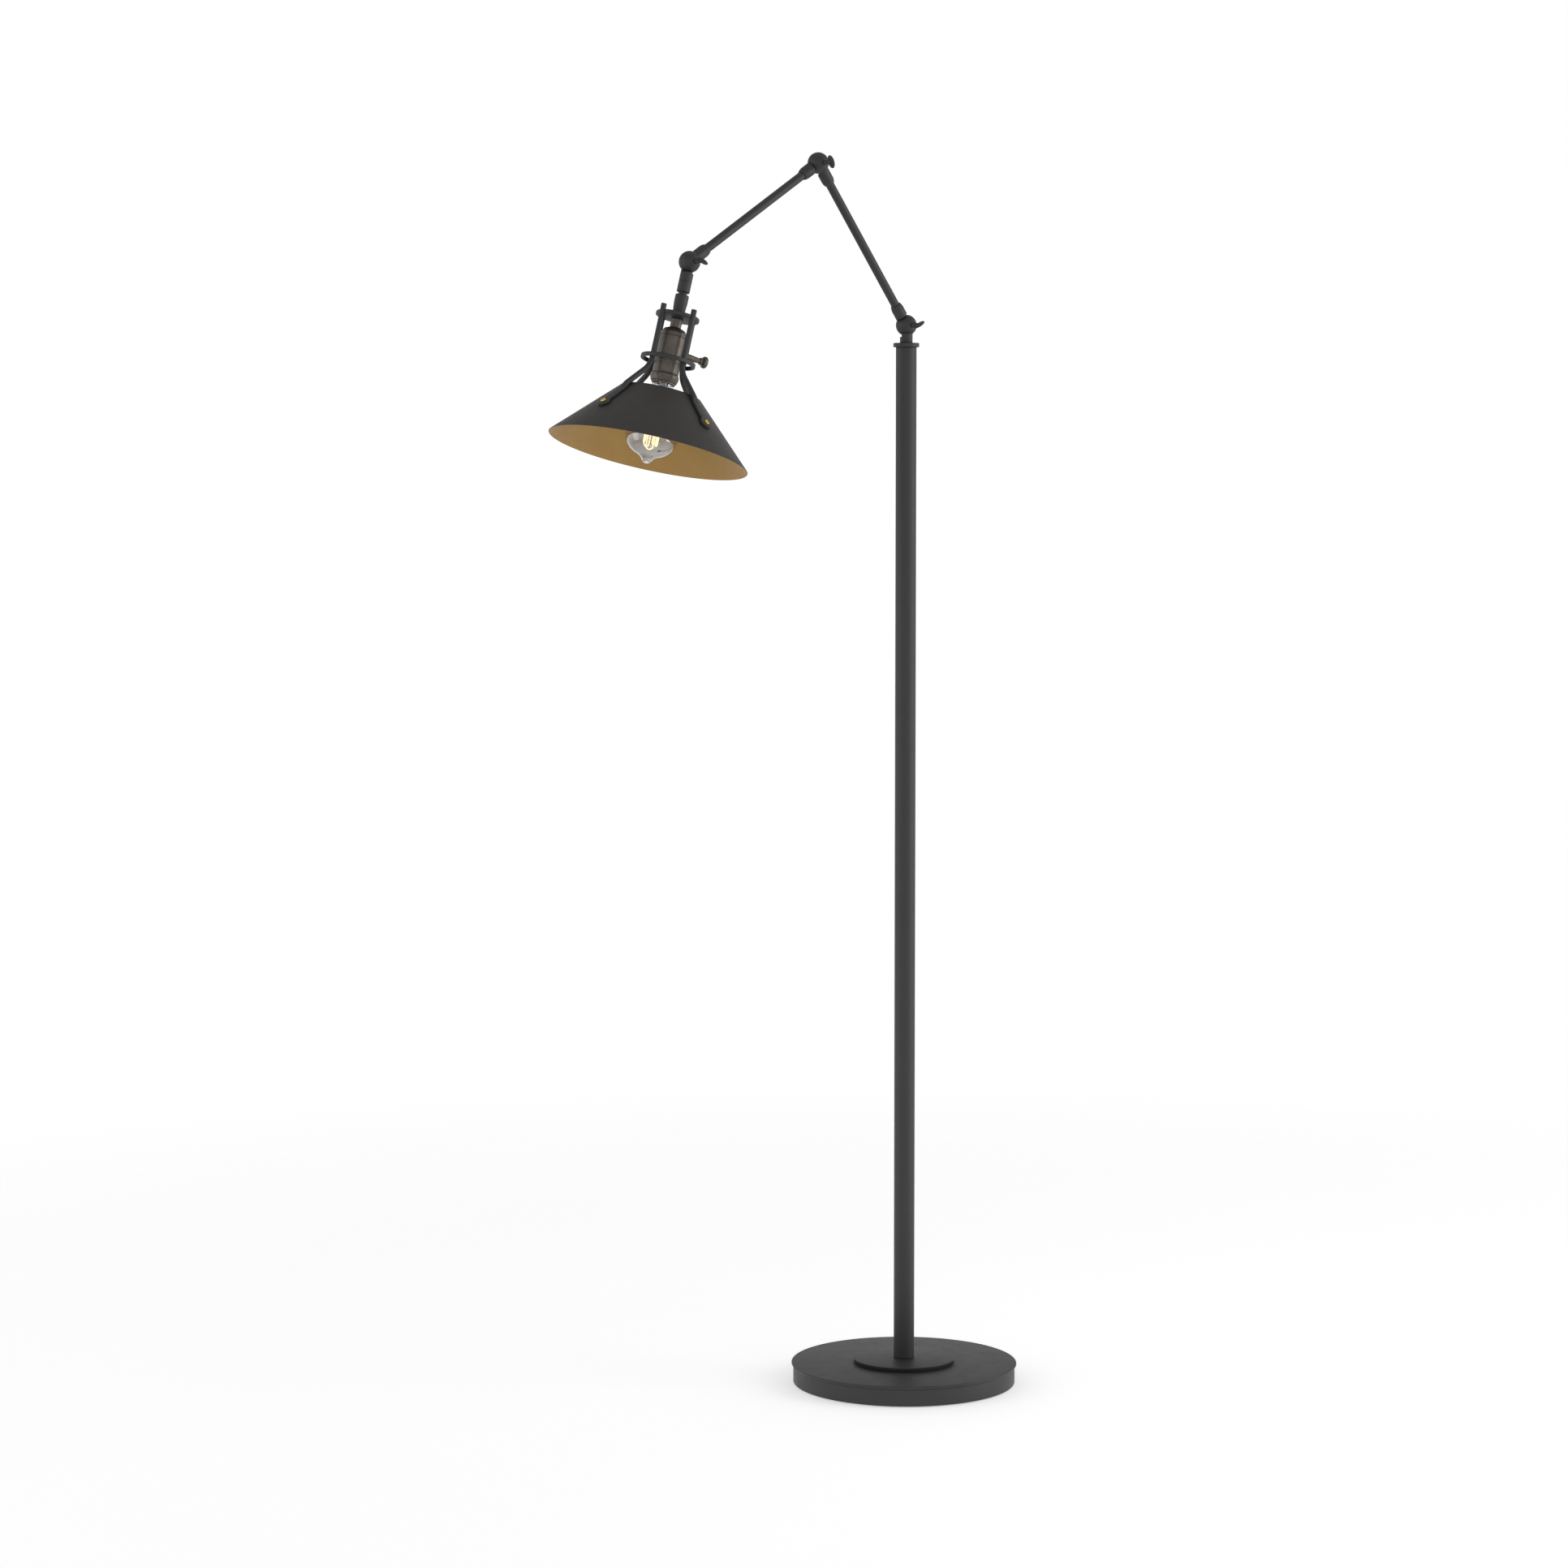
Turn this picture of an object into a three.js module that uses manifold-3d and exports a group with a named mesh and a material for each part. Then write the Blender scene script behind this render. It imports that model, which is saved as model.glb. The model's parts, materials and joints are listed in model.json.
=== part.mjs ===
// Adjustable arm floor lamp: a round weighted base and a slim post, two short arms joined by ball
// knuckles, and a conical shade hung on four bent rods from a turning head.
// Millimetres, +Z up. The origin is the centre of the base's underside. The arm reaches towards -X,
// its hinges lie along Y, and their thumbscrews stand out towards -Y.
import * as THREE from "three";
import { mergeVertices } from "three/addons/utils/BufferGeometryUtils.js";
import Module from "manifold-3d";

const wasm = await Module();
wasm.setup();

// ---- Driving dimensions ----

const gap = 0.3; // between pieces that touch

// Stand
const padRadius = 132;
const padThickness = 1;
const weightRadius = 137.6;
const plateRadius = 139.8;
const plateThickness = 4.5;
const baseHeight = 26; // underside of the pad to the top of the plate
const footRadius = 63.5;
const footThickness = 5.2;
const postRadius = 12.7;
const postWall = 1.2;
const collarRadius = 15.85;
const collarThickness = 5;
const collarTop = 1285.7;
const lowerKnuckleHeight = 1307.2;

// Threaded lamp pipe and the lead that runs in it
const pipeRadius = 4.85;
const pipeBore = 3.2;
const leadRadius = 1.6;
const leadHole = 2.4;

// Arm
const lowerArmLength = 235; // ball centre to ball centre
const upperArmLength = 231;
const lowerArmLean = 36.6; // degrees from upright, towards -X
const upperArmDroop = 32.5; // degrees below level
const headTilt = 15.5; // degrees of the shade's axis from straight down, towards -X
const armRadius = 5.18;
const armBore = 3.4;
const armSocketDepth = 18; // ball centre to the bottom of the tube's socket

// Ball knuckle
const ballRadius = 12.8;
const bossRadius = 5.5;
const chamberRadius = 10; // room for the lead round the boss
const chamberDepth = 6;
const swingRoom = 0.7; // between a ball and the other half's barrel
const washerThickness = 0.6;
const screwRadius = 2.5;
const spotFace = 12.2; // flat on the ball under the thumbscrew's collar
const paddleHalfWidth = 8;
const paddleHalfLength = 5.3; // along the screw
const paddleThickness = 3.2;
const paddleReach = 24; // ball centre to the paddle's centre
const lowerPaddleTurn = 58; // degrees of each paddle from upright, towards +X
const elbowPaddleTurn = -20;
const headPaddleTurn = -60;
const barrelRadius = 7.6;
const barrelStart = 10.3;
const barrelShoulder = 13.8; // where the barrel reaches full size beside the other half's ball
const barrelWaist = 5.6; // the barrel's radius up to there, on that side

// Head, measured down its own axis from the ball's centre
const headBarrelEnd = 37;
const couplingTop = 40;
const yokeTop = 64.5;
const yokeThickness = 4.5;
const yokeRadius = 25.75;
const legCircle = 25.2;
const legRadius = 3.3;
const legTop = 58;
const legBendStart = 120;
const legBendRadius = 27.5;
const firstLegTurn = -6.5; // degrees round the head's axis, from straight out towards -Y
const ringMiddle = 119.8;
const ringThickness = 4.8;
const ringInner = 28.8;
const ringOuter = 32.3;
const shadeTop = 158.8;
const shadeTopRadius = 47.4;
const shadeMouth = 229.8;
const shadeMouthRadius = 118;
const sheet = 1; // thickness of the shade's metal
const rivetCircle = 82.7;
const strapThickness = 3.2;
const strapHalfWidth = 4.3;
const strapLength = 38; // from the rivet up the shade
const tabRadius = 7.7;
const knobDepth = 108.5; // of the switch knob's axis
const knobTurn = 198.5; // degrees round the head's axis, from the first leg
const capBottom = 91;
const shellBottom = 147.6;
const shellRadius = 15.4;
const lampTip = 242.5;

// Facets round a full turn
const largeSides = 48;
const mediumSides = 24;
const roundSides = 16;
const smallSides = 10;
const wireSides = 6;

// ---- Materials ----

function finish(color, roughness, metalness) {
  return new THREE.MeshStandardMaterial({ color, roughness, metalness });
}

const charcoal = () => finish(0x3d3d3e, 0.55, 0.35);
const shadePaint = () => finish(0x3b3a36, 0.6, 0.3);
const bronze = () => finish(0x5a544c, 0.45, 0.8);
const brass = () => finish(0xc8a030, 0.3, 1);
const steel = () => finish(0x9a9a98, 0.45, 0.9);
const castIron = () => finish(0x2e2e2e, 0.8, 0.5);
const felt = () => finish(0x26282a, 0.95, 0);
const rubber = () => finish(0x202020, 0.8, 0);
const phenolic = () => finish(0x2a211b, 0.5, 0);
const fibre = () => finish(0x6b4b34, 0.8, 0);
const clearGlass = () => finish(0xeef2f2, 0.05, 0);
const glow = () => finish(0xffd890, 0.4, 0);

// ---- Shape helpers ----

// A closed mesh as a manifold-3d solid.
function solid(geometry) {
  const bare = geometry.index ? geometry.toNonIndexed() : geometry.clone();
  bare.deleteAttribute("normal");
  bare.deleteAttribute("uv");
  const merged = mergeVertices(bare, 1e-4);
  const triVerts = new Uint32Array(merged.index.array);
  const vertProperties = new Float32Array(merged.attributes.position.array);
  return new wasm.Manifold(new wasm.Mesh({ numProp: 3, vertProperties, triVerts }));
}

// A manifold-3d solid as a three.js geometry.
function geometryOf(shape) {
  const mesh = shape.getMesh();
  const geometry = new THREE.BufferGeometry();
  geometry.setAttribute("position", new THREE.BufferAttribute(mesh.vertProperties, 3));
  geometry.setIndex(new THREE.BufferAttribute(mesh.triVerts, 1));
  return geometry;
}

function join(...geometries) {
  return geometryOf(geometries.map(solid).reduce((whole, piece) => whole.add(piece)));
}

function cut(geometry, ...tools) {
  return geometryOf(tools.map(solid).reduce((rest, tool) => rest.subtract(tool), solid(geometry)));
}

// A solid turned about Y. The outline's [radius, height] points start and end on the axis, or it is
// closed here.
function turnedAboutY(outline, sides = roundSides) {
  const points = outline.map(([radius, height]) => new THREE.Vector2(radius, height));
  if (points[0].x > 0) points.push(points[0].clone());
  if (THREE.ShapeUtils.area(points) < 0) points.reverse();
  return new THREE.LatheGeometry(points, sides);
}

// The same, turned about Z.
function turned(outline, sides = roundSides) {
  return turnedAboutY(outline, sides).rotateX(Math.PI / 2);
}

function tube(outer, inner, low, high, sides = roundSides) {
  const outline = [
    [inner, low],
    [outer, low],
    [outer, high],
    [inner, high],
  ];
  return turned(outline, sides);
}

function rod(radius, low, high, sides = roundSides) {
  const outline = [
    [0, low],
    [radius, low],
    [radius, high],
    [0, high],
  ];
  return turned(outline, sides);
}

function radians(angle) {
  return THREE.MathUtils.degToRad(angle);
}

function degrees(angle) {
  return THREE.MathUtils.radToDeg(angle);
}

// Points [radius, height] of an arc about a centre, between two angles in degrees.
function arc(radius, from, to, [across, up] = [0, 0], steps = 5) {
  return Array.from({ length: steps + 1 }, (_, i) => {
    const angle = radians(from + ((to - from) * i) / steps);
    return [across + radius * Math.cos(angle), up + radius * Math.sin(angle)];
  });
}

function circle(radius) {
  return new THREE.Shape().absarc(0, 0, radius, 0, 2 * Math.PI);
}

// A round wire or rod along a path. An arc takes two points for each of its curve segments.
function swept(path, radius, steps, sides) {
  const options = { extrudePath: path, steps, curveSegments: sides / 2, bevelEnabled: false };
  return new THREE.ExtrudeGeometry(circle(radius), options);
}

function add(group, name, geometry, material) {
  const mesh = new THREE.Mesh(geometry, material);
  mesh.name = name;
  group.add(mesh);
  return mesh;
}

// A group at a height on its parent's Z axis, turned about Y by an angle in degrees.
function link(parent, height, turn) {
  const group = new THREE.Group();
  group.position.z = height;
  group.rotation.y = radians(turn);
  parent.add(group);
  return group;
}

// ---- Stand ----

const weightBottom = padThickness + gap;
const weightTop = baseHeight - plateThickness - gap;
const pocketTop = 16;
const pocketRadius = 22;
const channelHalfWidth = 3.6;
const channelTop = 8;
const channelEnd = 124;
const inletHeight = 7.4;
const inletRadius = 4.7;

function baseWeight() {
  const rimRound = 1;
  const outline = [
    [pipeRadius + gap, weightBottom],
    [weightRadius - rimRound, weightBottom],
    [weightRadius, weightBottom + rimRound],
    [weightRadius, weightTop],
    [pipeRadius + gap, weightTop],
  ];
  const pocket = rod(pocketRadius, 0, pocketTop, roundSides);
  const channel = new THREE.BoxGeometry(channelEnd, 2 * channelHalfWidth, channelTop);
  channel.translate(channelEnd / 2, 0, channelTop / 2);
  const inlet = rod(inletRadius, channelEnd - 5, weightRadius + 5, smallSides);
  inlet.rotateY(Math.PI / 2).translate(0, 0, inletHeight);
  return cut(turned(outline, largeSides), pocket, channel, inlet);
}

// Its edge slopes in below a short upright lip, down to the weight's rim.
function topPlate() {
  const edge = 0.7;
  const lip = 1.7;
  const outline = [
    [pipeRadius + gap, baseHeight - plateThickness],
    [weightRadius + 0.1, baseHeight - plateThickness],
    [plateRadius, baseHeight - lip],
    [plateRadius, baseHeight - edge],
    [plateRadius - edge, baseHeight],
    [pipeRadius + gap, baseHeight],
  ];
  return turned(outline, largeSides);
}

const footBottom = baseHeight + gap;
const footTop = footBottom + footThickness;

function footDisc() {
  const edge = 0.5;
  const undercut = 1.9;
  const outline = [
    [pipeRadius + gap, footBottom],
    [footRadius - undercut, footBottom],
    [footRadius, footTop - edge],
    [footRadius - edge, footTop],
    [pipeRadius + gap, footTop],
  ];
  return turned(outline, largeSides);
}

function postCollar() {
  const bottom = collarTop - collarThickness;
  const spigot = postRadius - postWall - gap;
  const outline = [
    [pipeRadius + gap, bottom - 12],
    [spigot, bottom - 12],
    [spigot, bottom],
    [collarRadius, bottom],
    [collarRadius, collarTop],
    [pipeRadius + gap, collarTop],
  ];
  return turned(outline, mediumSides);
}

// The hexagonal nut under the base weight.
function tieNut(low, high) {
  const hexagon = new THREE.Shape();
  const corner = 9.2;
  for (let i = 0; i < 6; i++) {
    const angle = radians(60 * i);
    const [x, y] = [corner * Math.cos(angle), corner * Math.sin(angle)];
    if (i === 0) hexagon.moveTo(x, y);
    else hexagon.lineTo(x, y);
  }
  hexagon.closePath();
  hexagon.holes.push(new THREE.Path().absarc(0, 0, pipeRadius + gap, 0, 2 * Math.PI));
  const options = { depth: high - low, curveSegments: roundSides / 2, bevelEnabled: false };
  return new THREE.ExtrudeGeometry(hexagon, options).translate(0, 0, low);
}

// The inlet bushing in the back of the base weight.
function cordBushing() {
  const body = inletRadius - gap;
  const hole = 2.5;
  const face = weightRadius + gap;
  const outline = [
    [hole, channelEnd + 1],
    [body, channelEnd + 1],
    [body, face],
    [body + 1.6, face],
    [body + 1.6, face + 0.8],
    [body, face + 1.5],
    [hole, face + 1.5],
  ];
  return turned(outline, smallSides).rotateY(Math.PI / 2).translate(0, 0, inletHeight);
}

const pipeBottom = 9;
const pipeTop = collarTop + 7.3;

// From the bushing along the channel, up into the tie pipe and to the pipe's top.
function standLead() {
  const bend = 6;
  const floor = 4.4;
  const path = new THREE.CurvePath();
  const start = new THREE.Vector3(channelEnd + 6, 0, inletHeight);
  const settle = new THREE.Vector3(channelEnd - 24, 0, floor);
  const turn = new THREE.Vector3(bend, 0, floor);
  const up = new THREE.Vector3(0, 0, floor + bend);
  const drop = new THREE.Vector3(channelEnd - 5, 0, inletHeight);
  const level = new THREE.Vector3(channelEnd - 12, 0, floor);
  const route = [
    new THREE.CubicBezierCurve3(start, drop, level, settle),
    new THREE.LineCurve3(settle, turn),
    new THREE.QuadraticBezierCurve3(turn, new THREE.Vector3(0, 0, floor), up),
  ];
  route.forEach((curve) => path.add(curve));
  const run = swept(path, leadRadius, 18, wireSides);
  const riser = rod(leadRadius, floor + bend - 0.5, pipeTop - 0.5, wireSides);
  return join(run, riser);
}

const lamp = new THREE.Group();
lamp.name = "floor_lamp";
const stand = link(lamp, 0, 0);
const washerTop = pocketTop - gap;
const washerBottom = washerTop - 1.5;
add(stand, "felt_pad", rod(padRadius, 0, padThickness, largeSides), felt());
add(stand, "base_weight", baseWeight(), castIron());
add(stand, "base_top_plate", topPlate(), charcoal());
add(stand, "foot_disc", footDisc(), charcoal());
const postEnd = collarTop - collarThickness - gap;
const postBore = postRadius - postWall;
add(stand, "post_tube", tube(postRadius, postBore, footTop + gap, postEnd, mediumSides), charcoal());
add(stand, "post_collar", postCollar(), charcoal());
add(stand, "tie_pipe", tube(pipeRadius, pipeBore, pipeBottom, pipeTop), steel());
add(stand, "tie_washer", tube(10, pipeRadius + gap, washerBottom, washerTop), steel());
add(stand, "tie_nut", tieNut(washerBottom - gap - 4, washerBottom - gap), steel());
add(stand, "cord_bushing", cordBushing(), rubber());
add(stand, "stand_lead", standLead(), rubber());

// ---- Knuckles ----

// Half of a ball knuckle with a barrel. The ball's centre is the origin, the hinge lies along Y and
// the barrel along +Z. Side -1 is the front half, which the thumbscrew passes through; side +1 is
// the rear half, which it screws into. Beside the other half's ball the barrel is cut back.
function knuckleHalf(side, barrel) {
  const face = gap / 2;
  const bossFace = washerThickness / 2 + gap;
  const bore = screwRadius + gap;
  const threadEnd = 9.5;
  const faceAngle = degrees(Math.asin(face / ballRadius));
  const spotAngle = degrees(Math.asin(spotFace / ballRadius));
  const inside = [
    [bore, bossFace],
    [bossRadius, bossFace],
    [bossRadius, chamberDepth],
    [chamberRadius, chamberDepth],
    [chamberRadius, face],
  ];
  const threaded = [[0, threadEnd], [bore, threadEnd], ...inside, ...arc(ballRadius, faceAngle, 90)];
  const pierced = [...inside, ...arc(ballRadius, faceAngle, spotAngle), [bore, spotFace]];
  const outline = side > 0 ? threaded : pierced;
  const ball = turnedAboutY(outline.map(([radius, depth]) => [radius, side * depth]));
  const clearance = ballRadius + swingRoom;
  const dome = arc(clearance, 0, 90).map(([radius, depth]) => [radius, -side * depth]);
  const room = turnedAboutY([[0, side * face], [clearance, side * face], ...dome], mediumSides);
  const ownSide = new THREE.BoxGeometry(4 * barrelRadius, 2 * barrelRadius, 2 * barrelShoulder);
  ownSide.translate(0, side * (barrelRadius + face), barrelShoulder);
  const recess = cut(tube(barrelRadius + 2, barrelWaist, 0, barrelShoulder), ownSide);
  const leadWay = rod(leadHole, bossRadius + 1, barrelStart + 4, smallSides);
  return cut(join(cut(ball, leadWay), cut(barrel, room, recess)), leadWay);
}

// The barrel of an arm's end, with a socket for the tube.
function armBarrel() {
  const socket = armRadius + gap;
  const shoulder = 24.6;
  const end = 30;
  const outline = [
    [leadHole, barrelStart],
    [barrelRadius, barrelStart],
    [barrelRadius, shoulder],
    [barrelRadius - 0.25, shoulder + 0.2],
    [barrelRadius - 0.4, shoulder + 2],
    [socket + 0.8, end - 0.5],
    [socket, end],
    [socket, armSocketDepth],
    [leadHole, armSocketDepth],
  ];
  return turned(outline);
}

function frictionWasher() {
  const half = washerThickness / 2;
  const outline = [
    [screwRadius + 0.4, -half],
    [bossRadius - gap, -half],
    [bossRadius - gap, half],
    [screwRadius + 0.4, half],
  ];
  return turnedAboutY(outline);
}

// A thumbscrew along -Y with its paddle standing along Z, and its shank in the rear half.
function thumbscrew() {
  const shankEnd = 8.5;
  const collarStart = -spotFace - gap;
  const outline = [
    [0, shankEnd],
    [screwRadius - 0.5, shankEnd],
    [screwRadius, shankEnd - 0.5],
    [screwRadius, collarStart],
    [3.4, collarStart],
    [3.4, collarStart - 1.8],
    [screwRadius, collarStart - 2.4],
    [screwRadius, -paddleReach],
    [0, -paddleReach],
  ];
  const bevel = 0.8;
  const paddle = new THREE.Shape();
  paddle.absellipse(0, 0, paddleHalfWidth - bevel, paddleHalfLength - bevel, 0, 2 * Math.PI);
  const options = {
    depth: paddleThickness - 2 * bevel,
    bevelEnabled: true,
    bevelSize: bevel,
    bevelThickness: bevel,
    bevelSegments: 1,
    curveSegments: roundSides / 2,
  };
  const blade = new THREE.ExtrudeGeometry(paddle, options);
  blade.translate(0, 0, -options.depth / 2);
  // The ellipse's long way turns to Z, its short way stays along Y.
  blade.rotateY(Math.PI / 2).translate(0, -paddleReach, 0);
  return join(turnedAboutY(outline, smallSides), blade);
}

// The thumbscrew and friction washer of one knuckle. The paddle's turn is about Y in the lamp's frame.
function fitKnuckle(parent, height, name, parentTurn, paddleTurn) {
  const joint = link(parent, height, paddleTurn - parentTurn);
  add(joint, name + "_thumbscrew", thumbscrew(), charcoal());
  add(joint, name + "_friction_washer", frictionWasher(), fibre());
}

// ---- Post swivel, with the front half of the lower knuckle ----

function swivelStem() {
  const stemRadius = 7.75;
  const bottom = lowerKnuckleHeight - collarTop - gap;
  const seat = lowerKnuckleHeight - pipeTop - gap;
  const outline = [
    [leadHole, barrelStart],
    [stemRadius, barrelStart],
    [stemRadius, bottom],
    [pipeRadius + gap, bottom],
    [pipeRadius + gap, seat],
    [leadHole, seat],
  ];
  return turned(outline);
}

const swivel = link(lamp, lowerKnuckleHeight, 0);
add(swivel, "post_swivel", knuckleHalf(-1, swivelStem()).rotateY(Math.PI), charcoal());

// ---- Arms ----

// An arm from its lower ball at the origin to its upper ball, along +Z.
function fillArm(arm, name, length) {
  const tubeStart = armSocketDepth + gap;
  const leadStart = ballRadius + gap;
  const armTube = tube(armRadius, armBore, tubeStart, length - tubeStart);
  add(arm, name + "_lower_knuckle", knuckleHalf(1, armBarrel()), charcoal());
  add(arm, name + "_tube", armTube, charcoal());
  const upperKnuckle = knuckleHalf(-1, armBarrel()).rotateY(Math.PI).translate(0, 0, length);
  add(arm, name + "_upper_knuckle", upperKnuckle, charcoal());
  add(arm, name + "_lead", rod(leadRadius, leadStart, length - leadStart, wireSides), rubber());
}

const lowerArmTurn = -lowerArmLean;
const upperArmTurn = -90 - upperArmDroop;
const headTurn = -180 + headTilt;

const lowerArm = link(swivel, 0, lowerArmTurn);
fillArm(lowerArm, "lower_arm", lowerArmLength);
fitKnuckle(lowerArm, 0, "lower", lowerArmTurn, lowerPaddleTurn);

const upperArm = link(lowerArm, lowerArmLength, upperArmTurn - lowerArmTurn);
fillArm(upperArm, "upper_arm", upperArmLength);
fitKnuckle(upperArm, 0, "elbow", upperArmTurn, elbowPaddleTurn);

// ---- Head knuckle ----

function headBarrel() {
  const radius = 7.7;
  const grooveAt = 24;
  const seat = headBarrelEnd - 9.5;
  const outline = [
    [leadHole, barrelStart],
    [radius, barrelStart],
    [radius, grooveAt - 0.35],
    [radius - 0.4, grooveAt],
    [radius, grooveAt + 0.35],
    [radius, headBarrelEnd - 0.4],
    [radius - 0.4, headBarrelEnd],
    [pipeRadius + 2 * gap, headBarrelEnd],
    [pipeRadius + 2 * gap, seat],
    [leadHole, seat],
  ];
  return turned(outline);
}

const head = link(upperArm, upperArmLength, headTurn - upperArmTurn);
add(head, "head_knuckle", knuckleHalf(1, headBarrel()), charcoal());
const tiltLead = rod(leadRadius, ballRadius + gap, headBarrelEnd - 10, wireSides);
add(head, "head_knuckle_lead", tiltLead, rubber());
fitKnuckle(head, 0, "head", headTurn, headPaddleTurn);

// ---- Turning head: coupling, yoke and shade ----

const neckTop = headBarrelEnd - 9;
const neckBottom = 51;

function coupling() {
  const bore = pipeRadius + gap;
  const outline = [
    [bore, couplingTop],
    [7.2, couplingTop],
    [8, couplingTop + 0.9],
    [8, 50],
    [6.85, yokeTop - gap],
    [bore, yokeTop - gap],
  ];
  return turned(outline);
}

function yokeDisc() {
  const edge = 0.5;
  const bottom = yokeTop + yokeThickness;
  const outline = [
    [pipeRadius + gap, yokeTop],
    [yokeRadius - edge, yokeTop],
    [yokeRadius, yokeTop + edge],
    [yokeRadius, bottom - edge],
    [yokeRadius - edge, bottom],
    [pipeRadius + gap, bottom],
  ];
  const notches = [0, 90, 180, 270].map((angle) => {
    const notch = rod(legRadius + gap, yokeTop - 1, bottom + 1, smallSides);
    return notch.translate(legCircle, 0, 0).rotateZ(radians(angle));
  });
  return cut(turned(outline, mediumSides), ...notches);
}

function yokeRing() {
  const low = ringMiddle - ringThickness / 2;
  return tube(ringOuter, ringInner, low, low + ringThickness, mediumSides);
}

const slope = Math.atan2(shadeMouth - shadeTop, shadeMouthRadius - shadeTopRadius);

// Puts a shape made about Z, with Z the outward normal of the shade, on the shade's outer face at a
// radius, at angle 0 round the head's axis. Its X then points down the slope.
function ontoShade(geometry, radius) {
  const depth = shadeTop + (radius - shadeTopRadius) * Math.tan(slope);
  const down = new THREE.Vector3(Math.cos(slope), 0, Math.sin(slope));
  const normal = new THREE.Vector3(Math.sin(slope), 0, -Math.cos(slope));
  const across = new THREE.Vector3().crossVectors(normal, down);
  const place = new THREE.Matrix4().makeBasis(down, across, normal);
  place.setPosition(radius, 0, depth);
  return geometry.applyMatrix4(place);
}

function rivetHole() {
  return ontoShade(rod(2.3, -4, 6, smallSides), rivetCircle);
}

// One leg at angle 0: a round rod beside the axis, bent out through the slope's angle, and flattened
// to a strap with a round tab on the shade.
function shadeLeg() {
  const bendEnd = new THREE.Vector3(
    legCircle + legBendRadius * (1 - Math.cos(Math.PI / 2 - slope)),
    0,
    legBendStart + legBendRadius * Math.sin(Math.PI / 2 - slope),
  );
  const corner = legBendStart + legBendRadius * Math.tan((Math.PI / 2 - slope) / 2);
  const alongShade = new THREE.Vector3(Math.cos(slope), 0, Math.sin(slope));
  const reach = (rivetCircle - bendEnd.x) / Math.cos(slope) - strapLength + 4;
  const rodEnd = bendEnd.clone().addScaledVector(alongShade, reach);
  const bendStart = new THREE.Vector3(legCircle, 0, legBendStart);
  const bendCorner = new THREE.Vector3(legCircle, 0, corner);
  const path = new THREE.CurvePath();
  path.add(new THREE.QuadraticBezierCurve3(bendStart, bendCorner, bendEnd));
  path.add(new THREE.LineCurve3(bendEnd, rodEnd));
  const bend = swept(path, legRadius, 10, smallSides);
  const upright = rod(legRadius, legTop, legBendStart + 1, smallSides).translate(legCircle, 0, 0);
  const outline = new THREE.Shape();
  outline.moveTo(-strapLength, -strapHalfWidth);
  const meet = Math.asin(strapHalfWidth / tabRadius);
  outline.lineTo(-tabRadius * Math.cos(meet), -strapHalfWidth);
  outline.absarc(0, 0, tabRadius, Math.PI + meet, 3 * Math.PI - meet, false);
  outline.lineTo(-strapLength, strapHalfWidth);
  outline.closePath();
  const options = { depth: strapThickness, curveSegments: 8, bevelEnabled: false };
  const strap = new THREE.ExtrudeGeometry(outline, options).translate(0, 0, gap);
  return cut(join(upright, bend, ontoShade(strap, rivetCircle)), rivetHole());
}

function shade() {
  const inward = sheet / Math.cos(slope);
  const outline = [
    [shadeTopRadius, shadeTop],
    [shadeMouthRadius, shadeMouth],
    [shadeMouthRadius - sheet * Math.sin(slope), shadeMouth + sheet * 0.2],
    [shadeTopRadius - sheet * Math.sin(slope), shadeTop + inward * 0.5],
  ];
  const holes = [0, 90, 180, 270].map((angle) => rivetHole().rotateZ(radians(angle)));
  return cut(turned(outline, largeSides), ...holes);
}

function rivet() {
  const seat = strapThickness + 2 * gap;
  const inside = -sheet - gap;
  const outline = [
    [0, inside - 1.2],
    [2.2, inside - 1],
    [3, inside],
    [2, inside],
    [2, seat],
    [3.4, seat],
    [2.9, seat + 0.9],
    [1.6, seat + 1.5],
    [0, seat + 1.7],
  ];
  return ontoShade(turned(outline, smallSides), rivetCircle);
}

const turning = link(head, 0, 0);
turning.rotation.z = radians(firstLegTurn);
add(turning, "swivel_neck", tube(pipeRadius, pipeBore, neckTop, neckBottom), charcoal());
add(turning, "head_coupling", coupling(), charcoal());
add(turning, "yoke_disc", yokeDisc(), charcoal());
add(turning, "yoke_ring", yokeRing(), charcoal());
add(turning, "shade", shade(), shadePaint());
for (let i = 0; i < 4; i++) {
  const angle = radians(90 * i);
  add(turning, "shade_leg_" + (i + 1), shadeLeg().rotateZ(angle), charcoal());
  add(turning, "rivet_" + (i + 1), rivet().rotateZ(angle), brass());
}

// ---- Lamp socket ----

const shellBore = shellRadius - 0.8;
const nippleBottom = 80;

function socketCap() {
  const neck = 6.6;
  const shoulder = 80; // the top of the dome
  const top = yokeTop + yokeThickness + gap;
  const outline = [
    [pipeRadius + gap, top],
    [neck, top],
    [neck, shoulder],
    [8, shoulder + 0.8],
    [12.5, shoulder + 2.6],
    [15.2, shoulder + 7],
    [shellRadius, shoulder + 8],
    [shellRadius, capBottom],
    [shellBore, capBottom],
    [shellBore, shoulder + 8],
    [12, shoulder + 3.8],
    [7.5, shoulder + 1.8],
    [pipeRadius + gap, shoulder + 1.8],
  ];
  return turned(outline);
}

function socketShell() {
  const bulge = 16.75;
  const outline = [
    [shellRadius, capBottom + gap],
    [shellRadius, 121],
    [shellRadius + 0.5, 121.8],
    [shellRadius, 122.6],
    [shellRadius, 134.6],
    [shellRadius - 0.5, 135.4],
    [bulge, 137],
    [bulge, 140],
    [shellRadius - 0.2, shellBottom],
    [shellBore, shellBottom],
    [shellBore, capBottom + gap],
  ];
  const window = rod(4.6, shellBore - 4, shellRadius + 4, smallSides);
  window.rotateY(Math.PI / 2).rotateZ(radians(knobTurn)).translate(0, 0, knobDepth);
  return cut(turned(outline), window);
}

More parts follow.
